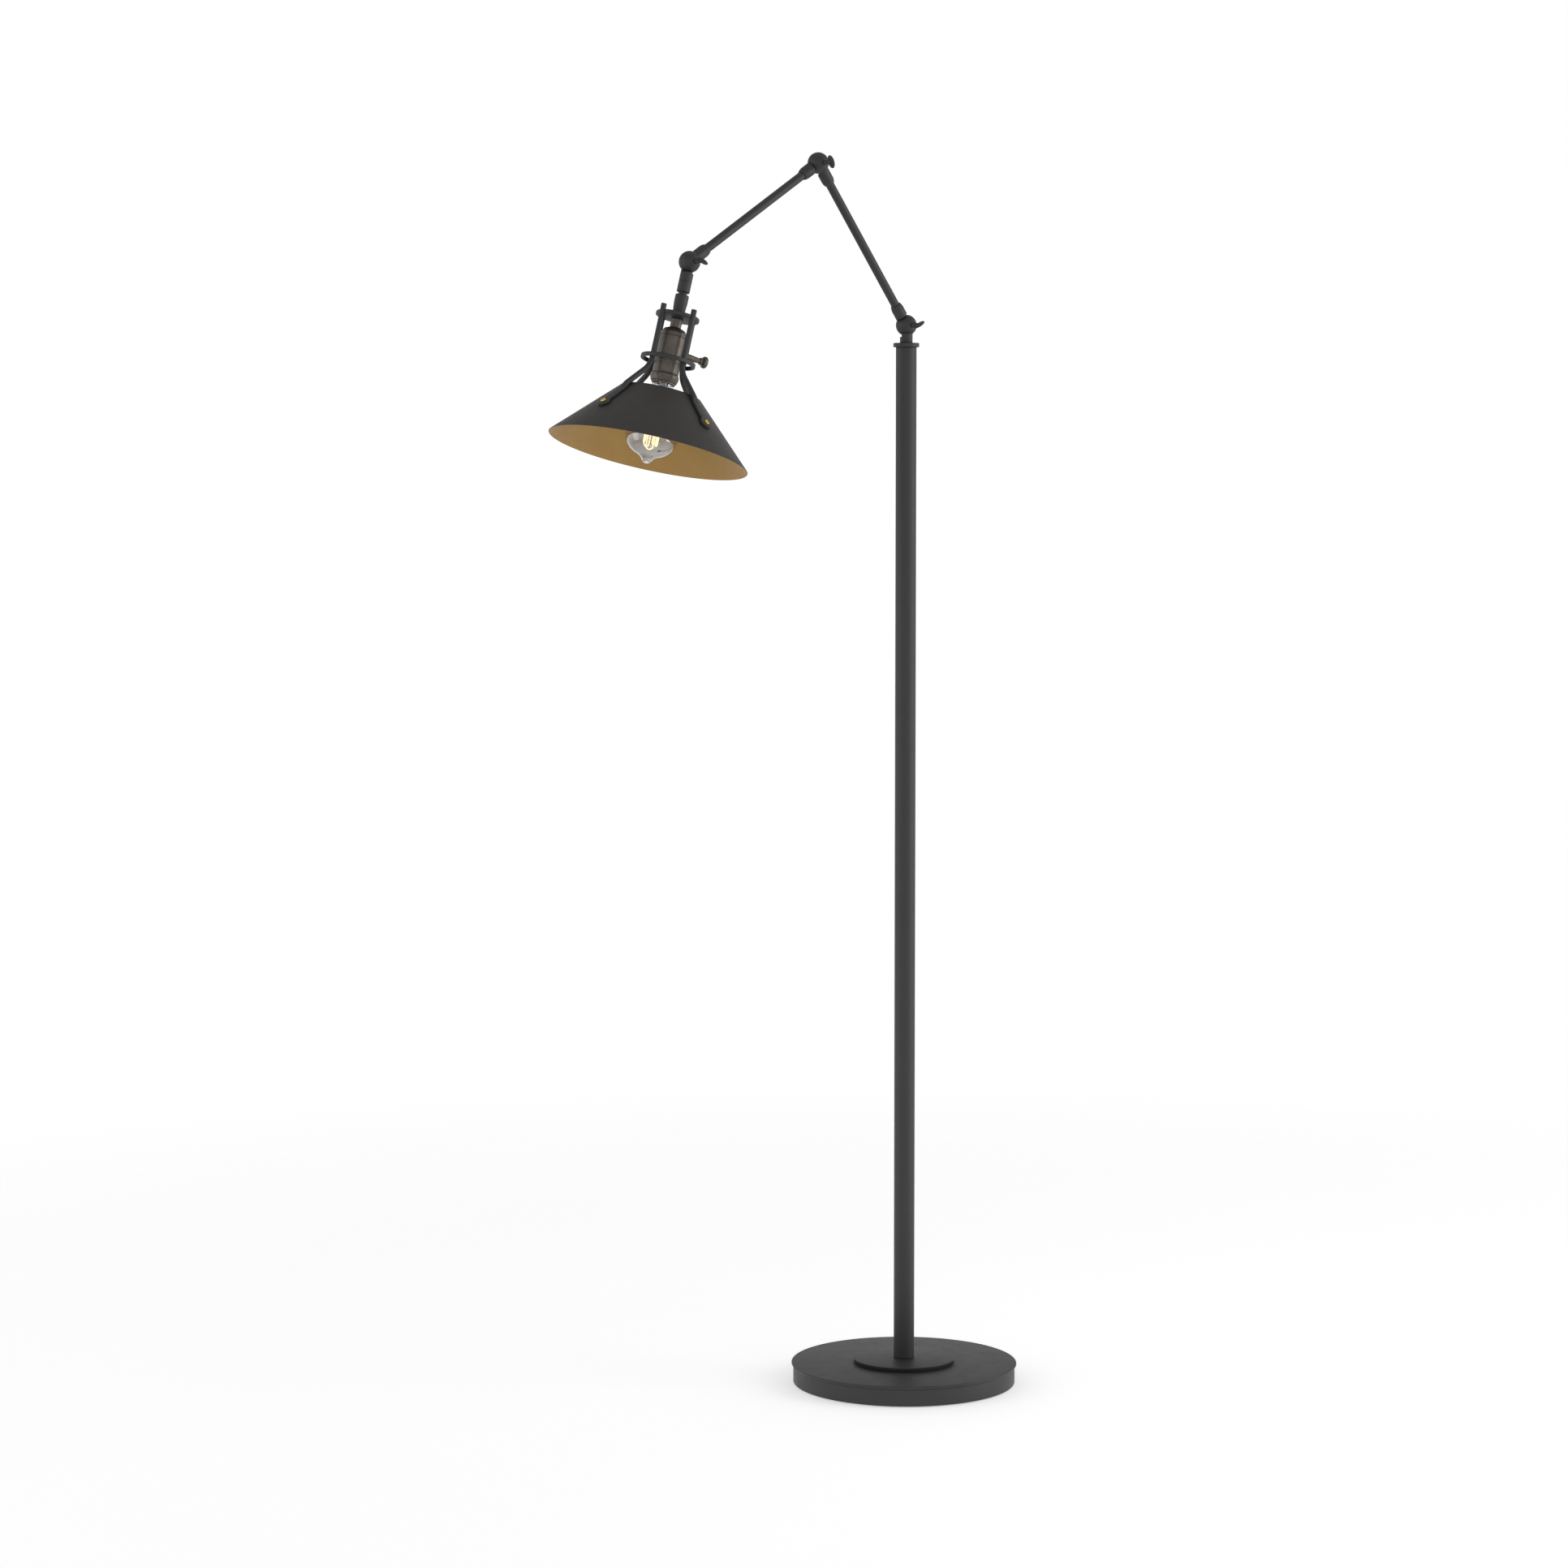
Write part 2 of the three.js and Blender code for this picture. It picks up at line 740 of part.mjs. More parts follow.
function insulator() {
  const outer = shellBore - gap;
  const body = tube(outer, 2.6, capBottom + 3, 117.4);
  const switchHole = rod(2.9, 5, outer + 3, smallSides);
  switchHole.rotateY(Math.PI / 2).rotateZ(radians(knobTurn)).translate(0, 0, knobDepth);
  return cut(body, switchHole);
}

const screwShellTop = 117.7;
const screwShellOuter = 14.1;
const screwShellInner = 13.5;

function screwShell() {
  const outline = [
    [6, screwShellTop],
    [screwShellOuter, screwShellTop],
    [screwShellOuter, 144],
    [screwShellInner, 144],
    [screwShellInner, screwShellTop + 0.6],
    [6, screwShellTop + 0.6],
  ];
  return turned(outline);
}

// The switch knob along +X, with its spindle in the insulator.
function turnKnob() {
  const outline = [
    [0, 6],
    [2.4, 6],
    [2.4, 14.9],
    [4.1, 16.4],
    [3.9, 26],
    [3.2, 38],
    [3.2, 39.4],
    [4.3, 40],
    [4.3, 41.2],
    [3.6, 42],
    [6, 43],
    [7, 44.5],
    [7, 46.8],
    [5.8, 48.2],
    [0, 48.8],
  ];
  return turned(outline, smallSides).rotateY(Math.PI / 2);
}

add(turning, "socket_nipple", tube(pipeRadius, pipeBore, neckBottom + gap, nippleBottom), steel());
add(turning, "socket_cap", socketCap(), bronze());
add(turning, "socket_shell", socketShell(), bronze());
add(turning, "socket_insulator", insulator(), phenolic());
add(turning, "socket_screw_shell", screwShell(), brass());
add(turning, "socket_contact", rod(4, screwShellTop, screwShellTop + 0.9, smallSides), brass());
add(turning, "head_lead", rod(leadRadius, neckTop, capBottom + 14, wireSides), rubber());

const knob = new THREE.Group();
knob.position.z = knobDepth;
knob.rotation.z = radians(knobTurn);
turning.add(knob);
add(knob, "turn_knob", turnKnob(), bronze());

// ---- Lamp ----

const lampCapTop = screwShellTop + 1.2;
const lampCapBottom = 146;
const glassWall = 0.9;

function lampCap() {
  const radius = screwShellInner - gap;
  const outline = [
    [0, lampCapTop],
    [4, lampCapTop],
    [4.5, lampCapTop + 1.4],
    [radius - 2, lampCapTop + 3.6],
    [radius, lampCapTop + 5],
    [radius, lampCapBottom],
    [radius - 0.5, lampCapBottom],
    [radius - 0.5, lampCapTop + 5.6],
    [0, lampCapTop + 5.6],
  ];
  return turned(outline);
}

// The lamp's glass: a neck, a swelling body, a shallow dome and a small tip, open inside the cap.
function lampGlass() {
  const profile = new THREE.SplineCurve(
    [
      [12, lampCapBottom - 8],
      [12.2, 147],
      [14, 153],
      [19.5, 162],
      [25.5, 174],
      [29.4, 187],
      [31, 203],
      [30.2, 214.5],
      [27.6, 221.5],
      [23, 227],
      [17.5, 230.9],
      [12, 233.2],
      [8.6, 235.4],
      [6.4, 238.2],
      [4.2, 240.8],
      [0, lampTip],
    ].map(([radius, depth]) => new THREE.Vector2(radius, depth)),
  );
  const steps = 20;
  const outer = [];
  const inner = [];
  for (let i = 0; i <= steps; i++) {
    const point = profile.getPoint(i / steps);
    const along = profile.getTangent(i / steps);
    outer.push([Math.max(point.x, 0), point.y]);
    inner.push([Math.max(point.x - glassWall * along.y, 0), point.y + glassWall * along.x]);
  }
  outer[steps] = [0, lampTip];
  inner[steps] = [0, lampTip - 1.5];
  return turned([...outer.reverse(), ...inner]);
}

function lampStem() {
  const outline = [
    [0, 139],
    [8, 139],
    [4.5, 146],
    [3, 165],
    [2.2, 180],
    [1.4, 206],
    [0, 207],
  ];
  return turned(outline, smallSides);
}

// One wire wound up and down round the stem.
function filament() {
  const loops = 5;
  const high = 176;
  const low = 226;
  const radius = 8;
  const points = [];
  for (let i = 0; i < 2 * loops; i++) {
    const angle = radians((300 * i) / (2 * loops - 1));
    const across = [radius * Math.cos(angle), radius * Math.sin(angle)];
    const ends = i % 2 ? [low, high] : [high, low];
    ends.forEach((depth) => points.push(new THREE.Vector3(...across, depth)));
  }
  return swept(new THREE.CatmullRomCurve3(points, false, "chordal"), 0.6, 38, wireSides);
}

add(turning, "bulb_cap", lampCap(), brass());
add(turning, "bulb_glass", lampGlass(), clearGlass());
add(turning, "bulb_stem", lampStem(), clearGlass());
add(turning, "bulb_filament", filament(), glow());

export default lamp;
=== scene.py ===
import json
import math

import bmesh
import bpy
from mathutils import Matrix, Vector


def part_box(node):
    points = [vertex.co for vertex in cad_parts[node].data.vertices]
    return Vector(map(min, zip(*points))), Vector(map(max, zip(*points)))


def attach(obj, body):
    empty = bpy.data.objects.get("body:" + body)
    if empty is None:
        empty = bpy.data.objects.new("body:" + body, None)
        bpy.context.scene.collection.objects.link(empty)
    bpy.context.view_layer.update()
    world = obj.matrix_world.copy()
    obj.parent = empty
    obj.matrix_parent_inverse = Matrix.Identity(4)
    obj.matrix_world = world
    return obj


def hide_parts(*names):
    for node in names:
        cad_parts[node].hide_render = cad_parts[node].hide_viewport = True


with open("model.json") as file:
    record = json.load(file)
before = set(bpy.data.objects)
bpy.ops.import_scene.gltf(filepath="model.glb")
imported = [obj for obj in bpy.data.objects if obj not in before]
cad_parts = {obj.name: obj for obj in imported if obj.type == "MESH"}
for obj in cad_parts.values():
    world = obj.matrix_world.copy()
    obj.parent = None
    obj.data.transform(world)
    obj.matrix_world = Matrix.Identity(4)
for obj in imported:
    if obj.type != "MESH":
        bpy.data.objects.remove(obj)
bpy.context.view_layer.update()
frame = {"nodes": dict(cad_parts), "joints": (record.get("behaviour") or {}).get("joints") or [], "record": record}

# Adjustable arm floor lamp: the fine surface of each visible piece, its materials, the studio and
# the camera. Outlines are in millimetres in the frame of the link they belong to; meshes are in
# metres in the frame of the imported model.

MM = 0.001

# ---- Frames of the links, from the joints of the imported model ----

JOINT = {joint["name"]: joint for joint in frame["joints"]}
LOWER_BALL = Vector(JOINT["lower_lean"]["pos_m"])
ELBOW_BALL = Vector(JOINT["elbow_fold"]["pos_m"])
HEAD_BALL = Vector(JOINT["head_lift"]["pos_m"])
HEAD_AXIS = Vector(JOINT["head_turn"]["axis"]).normalized()
KNOB_AXIS = Vector(JOINT["switch_turn"]["axis"]).normalized()
KNOB_CENTRE = Vector(JOINT["switch_turn"]["pos_m"])
HINGE = Vector((0, 1, 0))
UP = Vector((0, 0, 1))


def link_frame(origin, along):
    """The frame at origin with its Z along a link and its Y along the hinges."""
    z = along.normalized()
    y = (HINGE - HINGE.dot(z) * z).normalized()
    x = y.cross(z)
    turn = Matrix((x, y, z)).transposed()
    return Matrix.Translation(origin) @ turn.to_4x4()


STAND = Matrix.Identity(4)
SWIVEL = link_frame(LOWER_BALL, -UP)
LOWER = link_frame(LOWER_BALL, ELBOW_BALL - LOWER_BALL)
LOWER_END = link_frame(ELBOW_BALL, LOWER_BALL - ELBOW_BALL)
UPPER = link_frame(ELBOW_BALL, HEAD_BALL - ELBOW_BALL)
UPPER_END = link_frame(HEAD_BALL, ELBOW_BALL - HEAD_BALL)
HEAD = link_frame(HEAD_BALL, HEAD_AXIS)
KNOB = link_frame(KNOB_CENTRE, KNOB_AXIS)


def height_range(node):
    """A stand node's lowest and highest level and its radius, in millimetres."""
    low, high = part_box(node)
    return low[2] / MM, high[2] / MM, high[1] / MM


# ---- Outlines ----

ON_AXIS = 1e-6  # a smaller radius counts as on the axis
STRAIGHT = math.radians(89.5)  # half a corner's angle, from which it is left as it is
SIDE_SHARE = 0.49  # the most of a side that one rounded corner takes up


def is_loop(outline):
    """Whether an outline of (radius, height, ...) closes on itself rather than on the axis."""
    return outline[0][0] > ON_AXIS or outline[-1][0] > ON_AXIS


def softened(outline, steps=5):
    """An outline of (radius, height) or (radius, height, corner radius), with its corners as arcs.
    It is a loop, unless both ends lie on the axis."""
    count = len(outline)
    looped = is_loop(outline)
    result = []
    for i, corner in enumerate(outline):
        here = Vector(corner[:2])
        radius = corner[2] if len(corner) > 2 else 0
        inner = looped or 0 < i < count - 1
        if radius <= 0 or not inner:
            result.append(here)
            continue
        before = Vector(outline[i - 1][:2]) - here
        after = Vector(outline[(i + 1) % count][:2]) - here
        half = before.angle(after) / 2
        if half > STRAIGHT:
            result.append(here)
            continue
        reach = min(radius / math.tan(half), SIDE_SHARE * before.length, SIDE_SHARE * after.length)
        radius = reach * math.tan(half)
        middle = (before.normalized() + after.normalized()).normalized()
        centre = here + middle * (radius / math.sin(half))
        start = here + before.normalized() * reach - centre
        end = here + after.normalized() * reach - centre
        turn = start.angle_signed(end)
        for k in range(steps + 1):
            angle = -turn * k / steps
            c, s = math.cos(angle), math.sin(angle)
            result.append(centre + Vector((c * start.x - s * start.y, s * start.x + c * start.y)))
    return result


def circle(radius, height, sides):
    """Points round the Z axis."""
    angles = [2 * math.pi * k / sides for k in range(sides)]
    return [(radius * math.cos(angle), radius * math.sin(angle), height) for angle in angles]


def turned(outline, sides=96):
    """A bmesh of an outline turned about Z."""
    points = softened(outline)
    mesh = bmesh.new()
    rings = []
    for point in points:
        if point.x < ON_AXIS:
            rings.append([mesh.verts.new((0, 0, point.y))] * sides)
        else:
            rings.append([mesh.verts.new(place) for place in circle(point.x, point.y, sides)])
    pairs = list(zip(rings, rings[1:]))
    if is_loop(points):
        pairs.append((rings[-1], rings[0]))
    for low, high in pairs:
        for k in range(sides):
            n = (k + 1) % sides
            corners = []
            for vertex in (low[k], low[n], high[n], high[k]):
                if vertex not in corners:
                    corners.append(vertex)
            if len(corners) > 2:
                mesh.faces.new(corners)
    bmesh.ops.recalc_face_normals(mesh, faces=mesh.faces)
    return mesh


def lofted(rings):
    """A closed bmesh through rings of points with the same count each."""
    mesh = bmesh.new()
    made = [[mesh.verts.new(point) for point in ring] for ring in rings]
    count = len(made[0])
    for low, high in zip(made, made[1:]):
        for k in range(count):
            n = (k + 1) % count
            mesh.faces.new((low[k], low[n], high[n], high[k]))
    mesh.faces.new(made[0])
    mesh.faces.new(made[-1])
    bmesh.ops.recalc_face_normals(mesh, faces=mesh.faces)
    return mesh


def cylinder(radius, low, high, sides=48):
    return turned([(0, low), (radius, low), (radius, high), (0, high)], sides)


def spun(mesh, degrees, axis):
    """The bmesh turned about one axis of its frame."""
    turn = Matrix.Rotation(math.radians(degrees), 3, axis)
    bmesh.ops.rotate(mesh, matrix=turn, verts=mesh.verts)
    return mesh


def moved(mesh, matrix):
    bmesh.ops.transform(mesh, matrix=matrix, verts=mesh.verts)
    return mesh


# ---- Pieces ----

WELD = 1e-4  # points of a cut mesh that are nearer than this are joined


def raw_object(mesh, name="shape"):
    data = bpy.data.meshes.new(name)
    mesh.to_mesh(data)
    mesh.free()
    made = bpy.data.objects.new(name, data)
    bpy.context.scene.collection.objects.link(made)
    return made


def combined(mesh, tools, operation):
    """A bmesh joined with others (UNION) or cut by them (DIFFERENCE)."""
    base = raw_object(mesh)
    others = [raw_object(tool) for tool in tools]
    for other in others:
        modifier = base.modifiers.new("combine", "BOOLEAN")
        modifier.operation = operation
        modifier.object = other
        modifier.solver = "EXACT"
    evaluated = base.evaluated_get(bpy.context.evaluated_depsgraph_get())
    result = bmesh.new()
    result.from_mesh(evaluated.to_mesh())
    evaluated.to_mesh_clear()
    for old in [base, *others]:
        data = old.data
        bpy.data.objects.remove(old)
        bpy.data.meshes.remove(data)
    bmesh.ops.remove_doubles(result, verts=result.verts, dist=WELD)
    bmesh.ops.dissolve_degenerate(result, edges=result.edges, dist=WELD)
    return result


def piece(name, mesh, matrix, body, material, replaced, sharp=32):
    """A finished object in place of the nodes in replaced, riding on its body. Its mesh is in its
    link's frame in millimetres, and smooth but for edges sharper than an angle in degrees."""
    made = raw_object(moved(mesh, matrix @ Matrix.Scale(MM, 4)), name)
    made.data.materials.append(material)
    made.data.polygons.foreach_set("use_smooth", [True] * len(made.data.polygons))
    made.data.set_sharp_from_angle(angle=math.radians(sharp))
    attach(made, body)
    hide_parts(*replaced)
    return made


def painted(name, mesh, matrix, body, replaced, sharp=32):
    """A charcoal piece in place of one node."""
    return piece(name, mesh, matrix, body, CHARCOAL, [replaced], sharp)


# ---- Materials ----


class Nodes:
    """A short way to write a material's node tree. Noise scales are per metre."""

    def __init__(self, name):
        self.material = bpy.data.materials.new(name)
        self.material.use_nodes = True
        self.tree = self.material.node_tree
        self.shader = self.tree.nodes["Principled BSDF"]
        self.place = self.add("ShaderNodeTexCoord").outputs["Object"]

    def fill(self, socket, value):
        """Give an input a value, or link it to another node's output."""
        if isinstance(value, bpy.types.NodeSocket):
            self.tree.links.new(value, socket)
        else:
            socket.default_value = value

    def add(self, kind, inputs=None, **settings):
        node = self.tree.nodes.new(kind)
        for key, value in settings.items():
            setattr(node, key, value)
        for key, value in (inputs or {}).items():
            self.fill(node.inputs[key], value)
        return node

    def noise(self, scale, detail=4.0, roughness=0.55):
        inputs = {"Vector": self.place, "Scale": scale, "Detail": detail, "Roughness": roughness}
        return self.add("ShaderNodeTexNoise", inputs).outputs["Fac"]

    def spread(self, value, low, high, to_low, to_high):
        inputs = {"Value": value, "From Min": low, "From Max": high, "To Min": to_low, "To Max": to_high}
        return self.add("ShaderNodeMapRange", inputs).outputs["Result"]

    def mottle(self, scale, detail=4.0, roughness=0.55, low=0.3, high=0.7, to=(0.0, 1.0)):
        """Noise, with its part between low and high spread over another range."""
        return self.spread(self.noise(scale, detail, roughness), low, high, *to)

    def mix(self, factor, first, second):
        node = self.add("ShaderNodeMix", data_type="RGBA")
        for socket, value in zip((node.inputs[0], node.inputs[6], node.inputs[7]), (factor, first, second)):
            self.fill(socket, value)
        return node.outputs[2]

    def bump(self, height, strength, distance, normal=None):
        inputs = {"Height": height, "Strength": strength, "Distance": distance}
        if normal is not None:
            inputs["Normal"] = normal
        return self.add("ShaderNodeBump", inputs).outputs["Normal"]

    def edges(self, radius):
        """A rounded normal, and a mask that is 1 on sharp edges."""
        rounded = self.add("ShaderNodeBevel", {"Radius": radius}, samples=4).outputs["Normal"]
        true = self.add("ShaderNodeNewGeometry").outputs["Normal"]
        dot = self.add("ShaderNodeVectorMath", {0: rounded, 1: true}, operation="DOT_PRODUCT")
        smooth_face, sharp_edge = 0.99, 0.86
        return rounded, self.spread(dot.outputs["Value"], smooth_face, sharp_edge, 0.0, 1.0)

    def set(self, **inputs):
        for key, value in inputs.items():
            self.fill(self.shader.inputs[key.replace("_", " ")], value)

    def clear_where(self, amount):
        """Let everything through where amount is 1."""
        clear = self.add("ShaderNodeBsdfTransparent").outputs[0]
        either = self.add("ShaderNodeMixShader", {0: amount, 1: self.shader.outputs[0], 2: clear})
        self.fill(self.tree.nodes["Material Output"].inputs["Surface"], either.outputs[0])


def colour(red, green, blue):
    return (red, green, blue, 1.0)


def powder_coat(name, base, light, worn, roughness=(0.5, 0.55)):
    """Satin powder coat: a fine pebbled skin, cloudy tone, a little rubbed along the edges."""
    grain = 1500.0
    m = Nodes(name)
    cloud = m.mottle(9.0, 5.0, low=0.2, high=0.8)
    speck = m.mottle(grain * 0.6, 1.0, low=0.66, high=0.8, to=(0.0, 0.12))
    rounded, edge = m.edges(0.0005)
    wear = m.mottle(160.0, low=0.42, high=0.62, to=(0.0, 0.55))
    rubbed = m.add("ShaderNodeMath", {0: edge, 1: wear}, operation="MULTIPLY").outputs[0]
    tone = m.mix(cloud, base, light)
    tone = m.mix(speck, tone, worn)
    tone = m.mix(rubbed, tone, worn)
    m.set(
        Base_Color=tone,
        Roughness=m.mottle(60.0, to=roughness),
        Metallic=0.15,
        Normal=m.bump(m.noise(grain, 2.0, 0.5), 0.22, 0.00012, rounded),
    )
    return m.material


def gold_paint(name):
    """Soft metallic gold paint with faint mottling."""
    m = Nodes(name)
    cloud = m.mottle(14.0, 6.0, 0.6)
    fleck = m.mottle(900.0, 2.0, low=0.56, high=0.74, to=(0.0, 0.5))
    tone = m.mix(cloud, colour(0.338, 0.2, 0.056), colour(0.385, 0.23, 0.066))
    tone = m.mix(fleck, tone, colour(0.25, 0.143, 0.037))
    m.set(
        Base_Color=tone,
        Roughness=m.mottle(70.0, to=(0.42, 0.56)),
        Metallic=0.45,
        Normal=m.bump(m.noise(420.0, 3.0), 0.2, 0.0002),
    )
    return m.material


def patina(name, dark, bright, roughness, metallic=1.0):
    """Plated metal with a darkened, slightly cloudy patina that is bright on the edges."""
    cloud_scale = 45.0
    edge_glow = 1.5
    edge_cover = 0.6
    m = Nodes(name)
    cloud = m.mottle(cloud_scale, 6.0, 0.62, low=0.35, high=0.68)
    rounded, edge = m.edges(0.0004)
    lit = m.spread(edge, 0.0, 1.0, 0.0, edge_cover)
    glow = colour(*(min(1.0, edge_glow * channel) for channel in bright[:3]))
    m.set(
        Base_Color=m.mix(lit, m.mix(cloud, dark, bright), glow),
        Roughness=m.mottle(3 * cloud_scale, to=roughness),
        Metallic=metallic,
        Normal=m.bump(m.noise(30 * cloud_scale, 2.0), 0.12, 0.0001, rounded),
    )
    return m.material


def matt(name, first, second, roughness, scale, relief, depth=0.0001):
    """A matt non-metal, such as felt, rubber, fibre or moulded phenolic."""
    m = Nodes(name)
    cloud = m.mottle(scale, 5.0, 0.6)
    m.set(
        Base_Color=m.mix(cloud, first, second),
        Roughness=m.spread(cloud, 0.0, 1.0, roughness - 0.08, roughness),
        Normal=m.bump(m.noise(scale * 6, 3.0), relief, depth),
    )
    return m.material


def clear_glass(name):
    """Clear glass that lets lamplight through to the shade."""
    m = Nodes(name)
    m.set(
        Base_Color=m.mix(m.noise(20.0), colour(0.8, 0.83, 0.88), colour(0.85, 0.87, 0.91)),
        Metallic=0.14,
        Roughness=m.mottle(50.0, to=(0.0, 0.02)),
        Normal=m.bump(m.noise(38.0, 2.0), 0.05, 0.0004),
        Transmission_Weight=1.0,
        IOR=1.48,
    )
    m.clear_where(m.add("ShaderNodeLightPath").outputs["Is Shadow Ray"])
    return m.material


def glowing(name, hot, warm, strength):
    """A glowing wire, hotter in places."""
    m = Nodes(name)
    m.set(
        Base_Color=hot,
        Emission_Color=m.mix(m.noise(120.0), hot, warm),
        Emission_Strength=strength,
        Roughness=0.5,
    )
    return m.material


CHARCOAL = powder_coat(
    "charcoal_coat",
    base=colour(0.026, 0.026, 0.0265),
    light=colour(0.0295, 0.0295, 0.03),
    worn=colour(0.055, 0.055, 0.056),
)
SHADE_COAT = powder_coat(
    "shade_coat",
    base=colour(0.03, 0.0282, 0.0242),
    light=colour(0.034, 0.032, 0.0275),
    worn=colour(0.055, 0.053, 0.047),
    roughness=(0.54, 0.6),
)
GOLD = gold_paint("gold_paint")
BRONZE = patina("dark_bronze", colour(0.108, 0.094, 0.08), colour(0.172, 0.153, 0.133), (0.4, 0.52), 0.9)
RIVET_BRASS = patina("rivet_brass", colour(0.62, 0.42, 0.07), colour(0.86, 0.64, 0.14), (0.2, 0.32))
CONTACT_BRASS = patina("contact_brass", colour(0.42, 0.3, 0.12), colour(0.6, 0.44, 0.2), (0.3, 0.42))
ZINC = patina("zinc_plate", colour(0.36, 0.36, 0.35), colour(0.55, 0.55, 0.53), (0.3, 0.45))
FELT = matt("felt", colour(0.012, 0.012, 0.013), colour(0.03, 0.03, 0.032), 0.98, 320.0, 0.6, 0.0006)
RUBBER = matt("rubber", colour(0.012, 0.012, 0.012), colour(0.02, 0.02, 0.02), 0.78, 90.0, 0.15)
FIBRE = matt("fibre", colour(0.12, 0.06, 0.03), colour(0.18, 0.1, 0.055), 0.85, 240.0, 0.3)
PHENOLIC = matt("phenolic", colour(0.014, 0.01, 0.008), colour(0.025, 0.018, 0.014), 0.42, 60.0, 0.1)
GLASS = clear_glass("clear_glass")
FILAMENT = glowing("filament_glow", colour(1.0, 0.84, 0.46), colour(1.0, 0.72, 0.3), 1.5)

SLOT_MATERIAL = {
    "charcoal_paint": CHARCOAL,
    "cast_weight": CHARCOAL,
    "shade_paint": SHADE_COAT,
    "socket_bronze": BRONZE,
    "rivet_brass": RIVET_BRASS,
    "contact_brass": CONTACT_BRASS,
    "zinc_steel": ZINC,
    "felt": FELT,
    "rubber": RUBBER,
    "fibre": FIBRE,
    "phenolic": PHENOLIC,
    "clear_glass": GLASS,
    "filament": FILAMENT,
}
for part in frame["record"]["subparts"]:
    shown = frame["nodes"][part["node"]]
    shown.data.materials.clear()
    shown.data.materials.append(SLOT_MATERIAL[part["material_slot"]])

# ---- Camera ----

CAMERA_PLACE = Vector((-3.1226, -3.5701, 1.1108))
CAMERA_AZIMUTH = math.radians(39.373)
CAMERA_PITCH = math.radians(4.396)
CAMERA_LENS = 88.73
CAMERA_SENSOR = 36

camera_data = bpy.data.cameras.new("camera")
camera_data.lens = CAMERA_LENS
camera_data.sensor_width = CAMERA_SENSOR
camera = bpy.data.objects.new("camera", camera_data)
camera.location = CAMERA_PLACE
camera.rotation_euler = (math.pi / 2 - CAMERA_PITCH, 0, -CAMERA_AZIMUTH)
bpy.context.scene.collection.objects.link(camera)
bpy.context.scene.camera = camera

# ---- Stand ----

TIE_BORE = 5.2  # the holes that the tie pipe passes through
POCKET = 22  # the radius of the pocket under the weight
POCKET_ROOF = 16
WEIGHT_GAP = 0.05
PLATE_UNDERSIDE = 137.65  # the top plate's radius where it meets the weight
PLATE_LIP = 1.7
FOOT_UNDERCUT = 1.9
POST_WALL = 1.2
SPIGOT = 11.2  # the collar's part inside the post
FLANGE = 5  # the height of its part above
CORD_HOLE = 2.5
BUSHING_RIM = 1.6  # how far its rim stands out
BUSHING_RIM_THICKNESS = 1.5


def felt_pad():
    low, high, radius = height_range("felt_pad")
    outline = [(0, low), (radius, low, 0.3), (radius, high, 0.3), (0, high)]
    piece("pad_felt", turned(outline, 160), STAND, "stand", FELT, ["felt_pad"])


def base_weight():
    low, _, radius = height_range("base_weight")
    high = height_range("base_top_plate")[0] - WEIGHT_GAP
    outline = [
        (TIE_BORE, high),
        (radius, high, 0.1),
        (radius, low, 1.0),
        (POCKET, low, 0.8),
        (POCKET, POCKET_ROOF),
        (TIE_BORE, POCKET_ROOF),
    ]
    weight = turned(outline, 192)
    piece("weight_disc", weight, STAND, "stand", CHARCOAL, ["base_weight"])


def top_plate():
    low, high, radius = height_range("base_top_plate")
    outline = [
        (TIE_BORE, low),
        (PLATE_UNDERSIDE, low, 0.1),
        (radius, high - PLATE_LIP, 0.5),
        (radius, high, 0.8),
        (TIE_BORE, high),
    ]
    painted("top_plate", turned(outline, 192), STAND, "stand", "base_top_plate", 40)


def foot_disc():
    low, high, radius = height_range("foot_disc")
    outline = [(TIE_BORE, low), (radius - FOOT_UNDERCUT, low, 0.3), (radius, high, 0.7), (TIE_BORE, high)]
    painted("foot_plate", turned(outline, 160), STAND, "stand", "foot_disc")


def post():
    low, high, radius = height_range("post_tube")
    inside = radius - POST_WALL
    outline = [(inside, low), (radius, low, 0.3), (radius, high, 0.3), (inside, high)]
    painted("post", turned(outline, 128), STAND, "stand", "post_tube")


def post_collar():
    low, high, radius = height_range("post_collar")
    outline = [
        (TIE_BORE, low, 0.3),
        (SPIGOT, low, 0.4),
        (SPIGOT, high - FLANGE),
        (radius, high - FLANGE, 0.45),
        (radius, high, 0.7),
        (TIE_BORE, high, 0.2),
    ]
    painted("collar", turned(outline, 128), STAND, "stand", "post_collar")


def cord_bushing():
    low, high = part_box("cord_bushing")
    start, end = low[0] / MM, high[0] / MM
    outer = (high[1] - low[1]) / 2 / MM
    body = outer - BUSHING_RIM
    rim_start = end - BUSHING_RIM_THICKNESS
    outline = [
        (CORD_HOLE, start, 0.3),
        (body, start, 0.5),
        (body, rim_start),
        (outer, rim_start, 0.3),
        (outer, end, 1.1),
        (CORD_HOLE, end, 0.9),
    ]
    centre = Vector((0, 0, (low[2] + high[2]) / 2))
    along_x = Matrix.Translation(centre) @ Matrix.Rotation(math.pi / 2, 4, "Y")
    piece("inlet_bushing", turned(outline, 64), along_x, "stand", RUBBER, ["cord_bushing"])


felt_pad()
base_weight()
top_plate()
foot_disc()
post()
post_collar()
cord_bushing()

# ---- Knuckles and arms, measured along each link from the ball's centre ----

